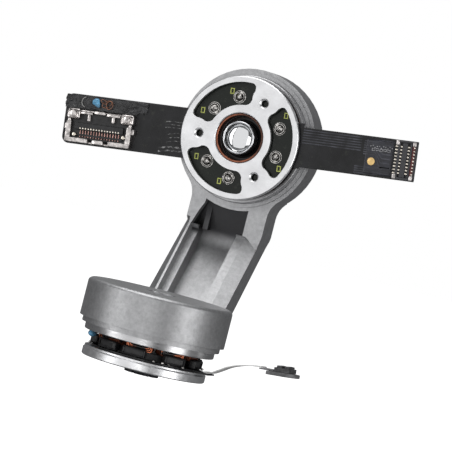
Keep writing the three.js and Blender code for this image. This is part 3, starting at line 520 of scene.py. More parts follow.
def block(name, low, high, round_edge=0.0, segments=2):
    """A block between two corners, in millimetres, with its edges rounded."""
    clear_selection()
    low, high = Vector(low) * MM, Vector(high) * MM
    bpy.ops.mesh.primitive_cube_add(size=1, location=(low + high) / 2)
    piece = added(name)
    piece.scale = high - low
    apply_place()
    if round_edge:
        edit_all(piece)
        bpy.ops.mesh.bevel(offset=round_edge * MM, segments=segments, affect="EDGES")
        leave_edit()
    return piece


def rod(name, radius, low, high, corners=32, round_edge=0.0):
    """A round bar along Z between two heights, in millimetres."""
    clear_selection()
    bpy.ops.mesh.primitive_cylinder_add(
        radius=radius * MM, depth=(high - low) * MM, vertices=corners,
        location=(0, 0, (high + low) / 2 * MM))
    piece = added(name)
    apply_place()
    if round_edge:
        select_faces(piece, lambda normal: abs(normal.z) > 0.9)
        bpy.ops.mesh.bevel(offset=round_edge * MM, segments=2, affect="EDGES")
        leave_edit()
    return piece


def drawn(name, points):
    """A line through points, in millimetres, extruded from one vertex and left selected."""
    clear_selection()
    bpy.ops.mesh.primitive_plane_add(size=MM)
    piece = added(name)
    edit_all(piece)
    bpy.ops.mesh.merge(type="CENTER")
    points = [Vector(point) * MM for point in points]
    shift_selected(points[0])
    for start, end in zip(points, points[1:]):
        bpy.ops.mesh.extrude_vertices_move(TRANSFORM_OT_translate={"value": end - start})
    bpy.ops.mesh.select_all(action="SELECT")
    return piece


def spun(name, outline, steps=64):
    """A (radius, height) outline in millimetres, spun about Z."""
    piece = drawn(name, [(radius, 0, height) for radius, height in outline])
    bpy.ops.mesh.spin(steps=steps, angle=math.tau, center=(0, 0, 0), axis=(0, 0, 1))
    bpy.ops.mesh.select_all(action="SELECT")
    bpy.ops.mesh.remove_doubles(threshold=1e-7)
    bpy.ops.mesh.normals_make_consistent(inside=False)
    leave_edit()
    return piece


def hollow_out(piece, border):
    """Cuts a plate through, leaving a border of this width in millimetres."""
    select_faces(piece, lambda normal: abs(normal.z) > 0.9)
    bpy.ops.mesh.inset(thickness=border * MM)
    bpy.ops.mesh.bridge_edge_loops()
    leave_edit()


def sink_top(piece, border, depth, upright):
    """Sinks the top inside a border; faces whose normal is more upright than this count as top."""
    select_faces(piece, lambda normal: normal.z > upright)
    bpy.ops.mesh.inset(thickness=border * MM, depth=-depth * MM)
    leave_edit()


def shifted(piece, offset):
    """The piece moved by an offset in millimetres."""
    piece.location = Vector(offset) * MM
    take(piece)
    apply_place()
    return piece


def join_pieces(name, parts):
    """Joins objects into one, which keeps every part's shape."""
    clear_selection()
    for piece in parts:
        piece.select_set(True)
    bpy.context.view_layer.objects.active = parts[0]
    if len(parts) > 1:
        bpy.ops.object.join()
    parts[0].name = name
    return parts[0]


def copy_piece(piece, name):
    made = bpy.data.objects.new(name, piece.data.copy())
    bpy.context.scene.collection.objects.link(made)
    return made


def copy_turned(piece, name, angle, axis="Z"):
    made = copy_piece(piece, name)
    made.matrix_world = Matrix.Rotation(angle, 4, axis)
    take(made)
    apply_place()
    return made


def modify(piece, kind, **settings):
    """Adds a modifier with these settings and applies it."""
    take(piece)
    modifier = piece.modifiers.new(kind.title(), kind)
    for setting, value in settings.items():
        setattr(modifier, setting, value)
    bpy.ops.object.modifier_apply(modifier=modifier.name)


def smooth(piece, degrees=35):
    take(piece)
    bpy.ops.object.shade_smooth_by_angle(angle=math.radians(degrees))


def settle(piece, where, body, finish, stands_for=(), degrees=35):
    """Puts a finished piece in its place on its body, with its finish."""
    take(piece)
    piece.matrix_world = where @ piece.matrix_world
    apply_place()
    smooth(piece, degrees)
    modify(piece, "WEIGHTED_NORMAL", keep_sharp=True, weight=100)
    paint(piece, finish)
    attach(piece, body)
    if stands_for:
        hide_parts(*stands_for)


def on_head(piece, finish, stands_for=(), degrees=35, at=(0, 0, 0), turn=0.0):
    """Settles a piece of the roll head; at is in millimetres and the turn is about its Z."""
    where = HEAD @ Matrix.Translation(Vector(at) * MM) @ Matrix.Rotation(turn, 4, "Z")
    settle(piece, where, "roll_head", finish, stands_for, degrees)


def refined(node, name, edge, finish, segments=2, sharp=28):
    """A merged copy of a CAD node with rounded edges, standing for that node."""
    piece = copy_piece(NODES[node], name)
    edit_all(piece)
    bpy.ops.mesh.remove_doubles(threshold=2e-7)
    bpy.ops.mesh.dissolve_limited(angle_limit=math.radians(0.4))
    leave_edit()
    modify(piece, "BEVEL", width=edge, segments=segments, limit_method="ANGLE",
           angle_limit=math.radians(sharp), harden_normals=False)
    settle(piece, PAN, NODES[node]["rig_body"], finish, [node])


# ---------------------------------------------------------------- the pieces
class MakerOperator(bpy.types.Operator):
    """Base of the operators that make pieces."""

    bl_options = {"REGISTER", "UNDO"}

    def execute(self, context):
        self.make()
        return {"FINISHED"}


class GIMBAL_OT_arm(MakerOperator):
    """Round the edges of the arm casting and give it its anodised finish"""

    bl_idname = "gimbal.arm"
    bl_label = "Arm Casting"

    def make(self):
        refined("arm_frame", "arm_casting", sizes().edge_break, "anodised_grey",
                segments=2, sharp=24)


class GIMBAL_OT_plates(MakerOperator):
    """Break the edges of the roll flange and the pan base disc"""

    bl_idname = "gimbal.plates"
    bl_label = "Flange And Base Disc"

    def make(self):
        edge = sizes().machined_edge
        refined("roll_flange", "camera_flange", edge, "machined_flange",
                sharp=24)
        refined("pan_base_plate", "base_disc", edge, "machined_disc")
        refined("pan_hub_cap", "base_hub_cap", edge, "blackened_steel")


class GIMBAL_OT_rings(MakerOperator):
    """Finish the rotor rings, magnets, bearings and shafts"""

    bl_idname = "gimbal.rings"
    bl_label = "Rotor Rings And Bearings"

    def make(self):
        edge = sizes().machined_edge
        for side in ("pan", "roll"):
            refined(f"{side}_rotor_ring", f"{side}_flux_ring", edge, "turned_steel")
            paint(NODES[f"{side}_magnet_ring"], "magnet_plating")
            paint(NODES[f"{side}_stator_core"], "coated_lamination")
        for node in ("pan_bearing_front", "pan_bearing_rear", "roll_bearing_rear", "pan_shaft"):
            paint(NODES[node], "ground_steel")
        refined("roll_bearing_inner_ring", "shaft_collar", edge, "ground_steel")
        refined("roll_bronze_liner", "bore_liner", edge / 2, "bronze_bush")
        self.bearing_seal()
        self.shaft_end()

    def bearing_seal(self):
        """Black shield with a shallow dish between its two lips."""
        outline = [(2.42, -3.4), (2.42, -1.62), (2.55, -1.55), (2.75, -1.72), (3.05, -1.74),
                   (3.2, -1.58), (3.4, -1.52), (3.46, -1.6), (3.46, -3.4), (2.42, -3.4)]
        seal = spun("front_bearing_seal", outline, 56)
        on_head(seal, "black_seal", ["roll_bearing_front"])

    def shaft_end(self):
        """Domed mirror face of the shaft, seen down the bore, inside a fine groove."""
        low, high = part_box("roll_shaft")
        length = (high.y - ROLL_CENTRE[1]) / MM
        dome = [(0, -0.14), (0.35, -0.15), (0.7, -0.175), (1.05, -0.22), (1.35, -0.275),
                (1.6, -0.335), (1.76, -0.4), (1.8, -0.6), (1.84, -0.6), (1.86, -0.16),
                (1.93, -0.12), (1.97, -0.18), (1.97, -length), (0, -length)]
        shaft = spun("roll_shaft_ground_end", dome, 64)
        settle(shaft, HEAD, "arm", "lapped_steel", ["roll_shaft"], 50)


def rounded_loop(name, half_width, half_height, corner, wire):
    """A wire loop round the X axis: a torus pulled apart into a rounded rectangle."""
    clear_selection()
    bpy.ops.mesh.primitive_torus_add(
        major_radius=corner, minor_radius=wire, major_segments=16, minor_segments=6,
        rotation=(0, math.pi / 2, 0))
    piece = added(name)
    apply_place()
    pulls = (
        (lambda co: co.y > 1e-7, (0, half_width - corner, 0)),
        (lambda co: co.y < -1e-7, (0, corner - half_width, 0)),
        (lambda co: co.z > 1e-7, (0, 0, half_height - corner)),
        (lambda co: co.z < -1e-7, (0, 0, corner - half_height)),
    )
    for side, offset in pulls:
        select_points(piece, side)
        shift_selected(offset)
        leave_edit()
    return piece


class GIMBAL_OT_windings(MakerOperator):
    """Wind each tooth of both stators with enamelled wire"""

    bl_idname = "gimbal.windings"
    bl_label = "Windings"

    def make(self):
        low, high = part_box("pan_coil_1")
        wire = sizes().wire_radius
        turns = sizes().wire_turns
        inner, outer = low.x + wire, high.x - wire
        half_height = (high.z - low.z) / 2 - wire
        loops = []
        for i in range(turns):
            at = inner + (outer - inner) * i / (turns - 1)
            reach = at * math.tan(math.pi / TOOTH_COUNT) - 0.14 * MM - wire
            for layer in range(3):
                drop = layer * 2.0 * wire
                loop = rounded_loop("turn", min(reach, 1.75 * MM) - drop,
                                    half_height - drop, 0.35 * MM, wire)
                loop.location = (at + (layer % 2) * wire * 0.7, 0, 0)
                apply_place()
                loops.append(loop)
        winding = join_pieces("winding", loops)
        pan_middle = Matrix.Translation((0, 0, (low.z + high.z) / 2))
        roll_low, roll_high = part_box("roll_coil_1")
        roll_depth = (roll_low.y + roll_high.y) / 2 - ROLL_CENTRE[1]
        roll_middle = HEAD @ Matrix.Translation((0, 0, -roll_depth))
        for i in range(TOOTH_COUNT):
            angle = math.tau * i / TOOTH_COUNT
            for side, body, where, turn in (
                    ("pan", "pan_base", pan_middle, angle),
                    ("roll", "roll_head", roll_middle, -angle)):
                coil = copy_turned(winding, f"{side}_winding_{i + 1}", turn)
                settle(coil, where, body, "varnished_copper", [f"{side}_coil_{i + 1}"],
                       60)
        bpy.data.objects.remove(winding)


class GIMBAL_OT_pan_terminals(MakerOperator):
    """Model the bobbin lugs, lead joints and adhesive in the pan motor's gap"""

    bl_idname = "gimbal.pan_terminals"
    bl_label = "Pan Motor Gap"

    def make(self):
        paint(NODES["pan_termination_board"], "cover_film")
        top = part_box("pan_termination_board")[1].z / MM
        coils_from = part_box("pan_coil_1")[0].z / MM
        low, high = top + 0.02, coils_from - 0.04
        base = spun("pan_bobbin_base",
                    [(6.0, low), (6.35, low), (6.35, high), (6.0, high), (6.0, low)], 60)
        settle(base, PAN, "pan_base", "moulded_black")
        lug = block("lug", (6.75, -1.6, top + 0.12), (7.75, 1.6, coils_from + 0.35), 0.2, 3)
        select_faces(lug, lambda normal: normal.x > 0.9)
        bpy.ops.mesh.inset(thickness=0.2 * MM)
        bpy.ops.mesh.extrude_region_move(TRANSFORM_OT_translate={"value": (-0.15 * MM, 0, 0)})
        leave_edit()
        foot = block("foot", (6.4, -0.5, top + 0.02), (7.5, 0.5, top + 0.5), 0.12)
        bobbin = join_pieces("bobbin", [lug, foot])
        for i in range(TOOTH_COUNT):
            angle = math.tau * (i + 0.1 * math.sin(2.4 * i)) / TOOTH_COUNT
            lug = copy_turned(bobbin, f"pan_bobbin_lug_{i + 1}", angle)
            settle(lug, PAN, "pan_base", "moulded_black")
        bpy.data.objects.remove(bobbin)
        self.lead_joints(top)
        self.adhesive(top)

    def lead_joints(self, top):
        """Solder bits where the phase leads meet the board, near the tail."""
        for number, (angle, radius, size) in enumerate(
                ((-62, 7.9, 0.2), (-53, 8.0, 0.26), (-46, 7.85, 0.18), (-30, 8.0, 0.22),
                 (-150, 7.9, 0.24), (20, 7.9, 0.22))):
            clear_selection()
            bpy.ops.mesh.primitive_uv_sphere_add(
                segments=16, ring_count=10, radius=size * MM,
                location=polar(radius, math.radians(angle), top + size * 0.6) * MM)
            bead = added(f"pan_lead_joint_{number + 1}")
            bead.scale = (1, 1, 0.75)
            bpy.ops.object.transform_apply(location=False, rotation=True, scale=True)
            settle(bead, PAN, "pan_base", "tin_solder", degrees=60)

    def adhesive(self, top):
        """Dab of blue adhesive between the coils at the far side."""
        clear_selection()
        bpy.ops.mesh.primitive_ico_sphere_add(
            subdivisions=3, radius=0.6 * MM,
            location=polar(7.8, math.radians(-152), top + 1.35) * MM)
        dab = added("pan_adhesive_dab")
        edit_all(dab)
        bpy.ops.transform.resize(value=(1.0, 1.5, 0.8), center_override=dab.location)
        leave_edit()
        settle(dab, PAN, "pan_base", "blue_adhesive", degrees=60)


class GIMBAL_OT_solder_joints(MakerOperator):
    """Model the six ring-and-bead joints seen through the flange windows"""

    bl_idname = "gimbal.solder_joints"
    bl_label = "Solder Joints"

    post_circle = 5.85
    spread = 20  # degrees to each side of a window's middle

    def make(self):
        number = 0
        for window in range(3):
            for side in (-1, 1):
                number += 1
                angle = math.radians(-120 * window - side * self.spread)
                self.joint(number, angle)

    def joint(self, number, angle):
        face = BOARD_FACE
        rings = [spun("eyelet", [(r, face + 0.01), (r, face + h), (r + w, face + h),
                                 (r + w, face + 0.01), (r, face + 0.01)], 28)
                 for r, w, h in ((0.84, 0.06, 0.1), (0.62, 0.08, 0.2))]
        bead = spun("bead", [(0, face + 0.62), (0.16, face + 0.6), (0.3, face + 0.5),
                             (0.4, face + 0.34), (0.5, face + 0.2), (0.56, face + 0.01),
                             (0, face + 0.01)], 20)
        select_points(bead, lambda co: co.z > (face + 0.4) * MM)
        shift_selected(polar(0.14 * MM, 3.1 * number))
        leave_edit()
        splash_angle = 2.3 * number
        splash = rod("splash", 0.26, face + 0.01, face + 0.16, 14, 0.07)
        shifted(splash, polar(0.62, splash_angle))
        joint = join_pieces(f"solder_joint_{number}", [*rings, bead, splash])
        on_head(joint, "tin_solder", [f"roll_solder_post_{number}"], 50,
                polar(self.post_circle, angle))


class GIMBAL_OT_board_marks(MakerOperator):
    """Print hollow squares beside the solder joints on the board behind the flange"""

    bl_idname = "gimbal.board_marks"
    bl_label = "Board Marks"

    def make(self):
        for number, (angle, radius) in enumerate(
                ((32.6, 7.3), (-30, 7.1), (109, 6.85), (152, 7.0), (208, 7.0), (250, 6.75))):
            mark = block(f"board_mark_{number + 1}", (-0.3, -0.42, BOARD_FACE + 0.005),
                         (0.3, 0.42, BOARD_FACE + 0.03))
            hollow_out(mark, 0.13)
            on_head(mark, "legend_ink", at=polar(radius, math.radians(angle)))


def strip_along(name, points, half_width, low, high):
    """A flat strip through points on the board, in millimetres, extruded edge by edge."""
    piece = drawn(name, [(*point, low) for point in points])
    shift_selected((0, -half_width * MM, 0))
    bpy.ops.mesh.extrude_edges_move(TRANSFORM_OT_translate={"value": (0, 2 * half_width * MM, 0)})
    bpy.ops.mesh.select_all(action="SELECT")
    bpy.ops.mesh.extrude_region_move(
        TRANSFORM_OT_translate={"value": (0, 0, (high - low) * MM)})
    bpy.ops.mesh.select_all(action="SELECT")
    bpy.ops.mesh.normals_make_consistent(inside=False)
    leave_edit()
    return piece


class GIMBAL_OT_flex_tails(MakerOperator):
    """Finish the flex circuit and raise its conductors under the film"""

    bl_idname = "gimbal.flex_tails"
    bl_label = "Flex Tails"

    def make(self):
        refined("roll_flex_circuit", "head_flex", 0.00004, "board_film", segments=1,
                sharp=40)
        for node in ("left_tail_stiffener", "right_tail_stiffener"):
            refined(node, node.replace("stiffener", "backing"), 0.00006, "stiffener_laminate")
        self.right_traces()
        self.left_traces()

    def ridge(self, points, half_width):
        top = BOARD_FACE + sizes().trace_height / MM
        return strip_along("trace", points, half_width, BOARD_FACE + 0.002, top)

    def right_traces(self):
        """Parallel conductors on the upper half and a fan of them towards the connector."""
        ridges = [self.ridge([(9.0, v), (17.6, v)], 0.07) for v in self.steps(2.3, -0.36, 6)]
        for i in range(7):
            start, end = 1.9 - 0.3 * i, 2.2 - 0.62 * i
            knee = 20.9 - 0.12 * abs(i - 3)
            way = [(18.0, start), (19.8, start), (knee, end), (22.0, end)]
            ridges.append(self.ridge(way, 0.08))
        ridges += [self.ridge([(17.0, v), (20.0, v), (21.0, v + 0.25), (22.0, v + 0.25)], 0.08)
                   for v in self.steps(-2.62, 0.3, 4)]
        on_head(join_pieces("right_tail_traces", ridges), "trace_film")

    def left_traces(self):
        """Short conductors rubbed bright where they slip under the flange."""
        ridges = [self.ridge([(-8.7, v), (-10.6, v), (-11.4, v - 0.1)], 0.06)
                  for v in self.steps(1.1, -0.42, 3)]
        ridges += [self.ridge([(-8.6, v), (-9.6, v), (-10.9, v - 0.25)], 0.05)
                   for v in self.steps(-0.5, -0.55, 3)]
        ridges += [self.ridge([(-8.4, v), (-10.2, v), (-12.0, v - 0.3)], 0.12)
                   for v in self.steps(-2.5, -0.5, 2)]
        on_head(join_pieces("left_tail_traces", ridges), "scuffed_film")

    def steps(self, first, step, count):
        return [first + step * i for i in range(count)]


class GIMBAL_OT_tail_parts(MakerOperator):
    """Place the test pad, solder pads, vias and gloss cover on the right tail"""

    bl_idname = "gimbal.tail_parts"
    bl_label = "Right Tail Components"

    def make(self):
        refined("right_tail_test_pad", "test_pad", 0.00003, "gold_pad")
        for i in range(5):
            u, v = 19.2 + 0.56 * i, 0.66 + 0.06 * (i % 2)
            pad = block(f"right_tail_pad_{i + 1}", (u, v, BOARD_FACE + 0.002),
                        (u + 0.42, v + 0.36, BOARD_FACE + 0.05))
            hollow_out(pad, 0.06)
            on_head(pad, "dull_tin")
        dots = []
        for i in range(11):
            u, v = 18.9 + 0.31 * i, 1.22 + 0.16 * math.sin(2.2 * i)
            dots.append(block("dot", (u, v, BOARD_FACE + 0.002),
                              (u + 0.15, v + 0.13, BOARD_FACE + 0.05)))
        dots = join_pieces("right_tail_vias", dots)
        on_head(dots, "dull_tin")
        plate = block("right_tail_cover", (18.35, -2.6, BOARD_FACE + 0.004),
                      (22.3, 2.25, BOARD_FACE + 0.03), 0.012)
        sink_top(plate, 0.12, 0.008, 0.9)
        on_head(plate, "gloss_film")


class GIMBAL_OT_coax_connector(MakerOperator):
    """Form the shielded micro-coax receptacle on the left tail"""

    bl_idname = "gimbal.coax_connector"
    bl_label = "Coax Receptacle"

    seat = -0.92
    left, right = -26.05, -16.1
    bottom, top = -3.5, 1.2

    def make(self):
        self.shell()
        self.insulator()
        self.contacts()

    # Bent strips of the shell, from its lower left corner: left, bottom, right and top edges,
    # how far each stops below the shell's full height, and its edge rounding.
    strips = (
        (0, 0, 0.75, 2.9, 0.15, 0.1), (9.2, 0, 9.95, 2.9, 0.15, 0.1),
        (0.1, 2.6, 0.55, 3.5, 0.3, 0.1), (9.4, 2.6, 9.85, 3.5, 0.3, 0.1),
        (-0.25, 1.7, 0.3, 2.5, 0.3, 0.08), (9.65, 1.9, 10.35, 2.7, 0.3, 0.08),
        (0.05, -0.1, 3.6, 0.55, -0.02, 0.09), (4.3, -0.1, 6.0, 0.5, -0.02, 0.09),
        (6.75, -0.1, 9.9, 0.55, -0.02, 0.09), (0.1, -0.12, 9.85, 0.12, 0.57, 0.05),
        (2.0, 4.0, 3.8, 4.36, 0.2, 0.1), (4.05, 4.14, 5.75, 4.64, 0.1, 0.12),
        (5.95, 4.02, 8.0, 4.48, 0.2, 0.1), (1.5, 4.4, 8.45, 4.55, 0.37, 0.04),
        (3.05, 3.05, 3.5, 4.1, 0.3, 0.09), (6.75, 3.2, 7.2, 4.2, 0.3, 0.09),
    )

    def shell(self):
        """Folded nickel sheet: end walls with round latches, side tabs and a slotted rail."""
        z0, z1 = self.seat + 0.03, self.seat + 1.1
        l, b, t = self.left, self.bottom, self.top
        parts = [block("sheet", (l + u0, b + v0, z0), (l + u1, b + v1, z1 - drop), edge)
                 for u0, v0, u1, v1, drop, edge in self.strips]
        for u in (l + 0.9, self.right - 0.85):
            latch = block("latch", (u - 1.02, t - 1.5, z0), (u + 1.02, t, z1), 0.3, 3)
            sink_top(latch, 0.16, 0.14, 0.95)
            parts.append(latch)
            parts.append(shifted(rod("boss", 0.52, z0, z1 + 0.08, 24, 0.12), (u, t - 0.72, 0)))
        on_head(join_pieces("coax_shell", parts), "nickel_sheet", ["coax_connector_shell"])

    def insulator(self):
        z0, z1 = self.seat + 0.02, self.seat + 0.6
        l, r, b, t = self.left, self.right, self.bottom, self.top
        body = block("body", (l + 0.75, b + 0.42, z0), (r - 0.75, t - 0.5, z1 - 0.2), 0.06)
        ridge = block("ridge", (l + 1.25, b + 1.75, z0), (r - 1.25, b + 2.75, z1 + 0.18), 0.12)
        tongue = block("tongue", (l + 1.3, b + 0.85, z0), (r - 1.3, b + 1.2, z1), 0.06)
        insulator = join_pieces("coax_insulator", [body, ridge, tongue])
        on_head(insulator, "moulded_black", ["coax_connector_insulator"])

    def contacts(self):
        """Fifteen contacts: a bright nose above and a bent leg below the slot."""
        count, pitch = 15, 0.42
        middle = (self.left + self.right) / 2 + 0.12
        z = self.seat
        noses, legs = [], []
        for i in range(count):
            u = middle + (i - (count - 1) / 2) * pitch
            noses.append(block("nose", (u - 0.1, self.bottom + 1.82, z + 0.5),
                               (u + 0.1, self.bottom + 2.08, z + 0.84), 0.05))
            legs.append(block("leg", (u - 0.07, self.bottom + 0.7, z + 0.35),
                              (u + 0.07, self.bottom + 1.7, z + 0.58), 0.04))
        nose_row = join_pieces("coax_contact_noses", noses)
        on_head(nose_row, "tinned_contact", ["coax_contact_comb"])
        leg_row = join_pieces("coax_contact_legs", legs)
        on_head(leg_row, "dull_copper")
        for number, (u, v) in enumerate(((self.left + 1.35, 1.0), (self.right - 1.1, 1.35))):
            pad = rod(f"coax_ground_pad_{number + 1}", 0.3, z + 0.6, z + 0.92, 20, 0.1)
            on_head(pad, "tinned_contact", at=(u, self.bottom + v, 0))


class GIMBAL_OT_board_connector(MakerOperator):
    """Form the board-to-board connector across the end of the right tail"""

    bl_idname = "gimbal.board_connector"
    bl_label = "Board Connector"

    seat = -0.92
    left, right = 22.6, 25.8
    middle_v, half = -0.15, 2.75

    def make(self):
        self.housing()
        self.contacts()
        self.corner_tabs()

    def housing(self):
        """Grey moulded body: a rim, two slots and the island between them."""
        z0, z1 = self.seat + 0.01, self.seat + 0.72
        v, h, l, r = self.middle_v, self.half, self.left, self.right
        # Left and right edges, how far each stops short of the ends and of the top, rounding.
        parts = [block("rib", (u0, v - h + short, z0), (u1, v + h - short, z1 - drop), edge)
                 for u0, u1, short, drop, edge in (
                     (l + 0.3, r, 0, 0.45, 0.1), (l + 0.42, l + 0.82, 0.06, 0.08, 0.07),
                     (l + 1.12, l + 1.86, 0.35, 0.04, 0.08), (r - 0.95, r - 0.7, 0.1, 0.05, 0.06),
                     (r - 0.2, r, 0.02, 0, 0.06))]
        for sign in (-1, 1):
            side = sorted((v + sign * (h - 0.34), v + sign * h))
            parts.append(block("end", (l + 0.45, side[0], z0), (r, side[1], z1), 0.09))
        housing = join_pieces("board_connector_body", parts)
        on_head(housing, "connector_grey", ["board_connector_housing"])

    def pin_row(self, name, u, length, low, high, finish, stands_for=(), count=9, pitch=0.46):
        pins = []
        for i in range(count):
            v = self.middle_v + (i - (count - 1) / 2) * pitch
            pins.append(block("pin", (u, v - 0.11, self.seat + low),
                              (u + length, v + 0.11, self.seat + high), 0.04))
        row = join_pieces(f"board_contacts_{name}", pins)
        on_head(row, finish, stands_for)

    def contacts(self):
        l, r, pale = self.left, self.right, "tinned_contact"
        self.pin_row("a", l + 0.02, 0.44, 0.02, 0.34, pale, ["board_connector_contacts_a"])
        self.pin_row("b", l + 1.9, 0.3, 0.3, 0.66, pale, ["board_connector_contacts_b"])
        self.pin_row("c", l + 0.84, 0.26, 0.3, 0.66, pale)
        flux = block("board_contact_flux", (r - 0.68, self.middle_v - 2.15, self.seat + 0.4),
                     (r - 0.2, self.middle_v + 2.15, self.seat + 0.66), 0.08)
        on_head(flux, "red_brown_lacquer")
        self.pin_row("outer", r - 0.42, 0.22, 0.6, 0.76, pale)

    def corner_tabs(self):
        z, v, h = self.seat, self.middle_v, self.half
        tabs = []
        for sign in (-1, 1):
            for u, width in ((self.left + 0.15, 0.5), (self.right - 0.62, 0.5)):
                at = v + sign * (h - 0.4)
                tabs.append(block("tab", (u, at - 0.34, z + 0.3),
                                  (u + width, at + 0.34, z + 0.8), 0.08))
        tabs = join_pieces("board_connector_tabs", tabs)
        on_head(tabs, "nickel_sheet")


class GIMBAL_OT_potting(MakerOperator):
    """Lay the rough potting bead, adhesive dab and wire loop above the receptacle"""

    bl_idname = "gimbal.potting"
    bl_label = "Potting Bead"

    def make(self):
        self.bead()
        self.dab()
        self.loops()

    def bead(self):
        """A long lumpy bead along the left tail's upper edge."""
        low = BOARD_FACE + 0.02
        bead = block("potting_bead", (-26.75, 1.25, low), (-14.4, 3.15, low + 0.42))
        edit_all(bead)
        bpy.ops.mesh.subdivide(number_cuts=15)
        leave_edit()
        modify(bead, "SUBSURF", levels=1, render_levels=1)
        select_points(bead, lambda co: co.x > -15.6 * MM)
        bpy.ops.transform.resize(
            value=(1, 0.75, 0.4), center_override=(-14.4 * MM, 2.7 * MM, low * MM))
        leave_edit()
        for name, size, depth in (("bead_lumps", 1.3, 0.55), ("bead_grains", 0.45, 0.3)):
            lumps = bpy.data.textures.new(name, "CLOUDS")
            lumps.noise_scale = size * MM
            modify(bead, "DISPLACE", texture=lumps, strength=depth * MM, mid_level=0.5,
                   direction="NORMAL", texture_coords="LOCAL")
        floor = low * MM
        select_points(bead, lambda co: co.z < floor)
        bpy.ops.transform.resize(value=(1, 1, 0), center_override=(0, 0, floor))
        leave_edit()
        on_head(bead, "epoxy_black", degrees=60)
        self.hair()

    def hair(self):
        """Pale curved fibre set in the bead: one side of a ring."""
        clear_selection()
        bpy.ops.mesh.primitive_torus_add(
            major_radius=0.75 * MM, minor_radius=0.045 * MM, major_segments=40, minor_segments=8)
        hair = added("bead_fibre")
        select_points(hair, lambda co: co.x > -0.2 * MM)
        bpy.ops.mesh.delete(type="VERT")
        bpy.ops.mesh.select_all(action="SELECT")
        bpy.ops.mesh.edge_face_add()
        leave_edit()
        on_head(hair, "pale_fibre", degrees=60, at=(-23.5, 2.25, -0.3))

    def dab(self):
        clear_selection()
        bpy.ops.mesh.primitive_ico_sphere_add(subdivisions=3, radius=0.58 * MM)
        dab = added("tail_adhesive_dab")
        select_points(dab, lambda co: co.x > 0)
        bpy.ops.transform.resize(value=(1.5, 0.7, 0.8), center_override=(0, 0, 0))
        leave_edit()
        on_head(dab, "blue_adhesive", degrees=60, at=(-22.05, 2.4, -0.35), turn=-0.9)

    def loops(self):
        """Fine lead wires looped over the bead."""
        for number, (u, v, radius, squeeze, turn) in enumerate(
                ((-20.4, 2.3, 0.75, 0.6, 0.5), (-20.0, 2.2, 0.6, 0.8, 1.3),
                 (-20.9, 2.6, 0.5, 0.5, -0.4))):
            clear_selection()
            bpy.ops.mesh.primitive_torus_add(
                major_radius=radius * MM, minor_radius=0.06 * MM, major_segments=36,
                minor_segments=8)
            loop = added(f"lead_loop_{number + 1}")
            edit_all(loop)
            bpy.ops.transform.resize(value=(1, squeeze, 1), center_override=(0, 0, 0))
            leave_edit()
            on_head(loop, "lead_wire", (), 60, (u, v, -0.3), turn)


class GIMBAL_OT_pan_tail(MakerOperator):
    """Finish the pan motor's thin tail, its small board and its plug"""

    bl_idname = "gimbal.pan_tail"
    bl_label = "Pan Tail"

    def make(self):
        refined("pan_tail_flex", "pan_ribbon", 0.00002, "pale_film", segments=1,
                sharp=60)
        refined("pan_tail_stiffener", "pan_ribbon_backing", 0.00006, "stiffener_laminate")
        refined("pan_tail_board", "pan_ribbon_board", 0.00008, "stiffener_laminate")
        low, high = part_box("pan_tail_plug")
        plug = copy_piece(NODES["pan_tail_plug"], "pan_ribbon_plug")
        select_points(plug, lambda co: co.z > low.z + 0.6 * (high.z - low.z))
        shift_selected((0, 0, -0.25 * (high.z - low.z)))
        leave_edit()
        modify(plug, "BEVEL", width=0.00005, segments=2, limit_method="ANGLE")
        near, far, level = low.x / MM, high.x / MM, high.z / MM
        sides = (low.y / MM + 0.3, high.y / MM - 0.3)
        posts = [block("wall", (u, sides[0], level - 0.7), (u + width, sides[1], level - drop), 0.1)
                 for u, width, drop in ((near + 0.2, 0.75, 0.14), (far - 0.85, 0.6, 0.0))]
        plug = join_pieces("pan_ribbon_plug", [plug, *posts])
        settle(plug, PAN, "pan_base", "moulded_grey", ["pan_tail_plug"])


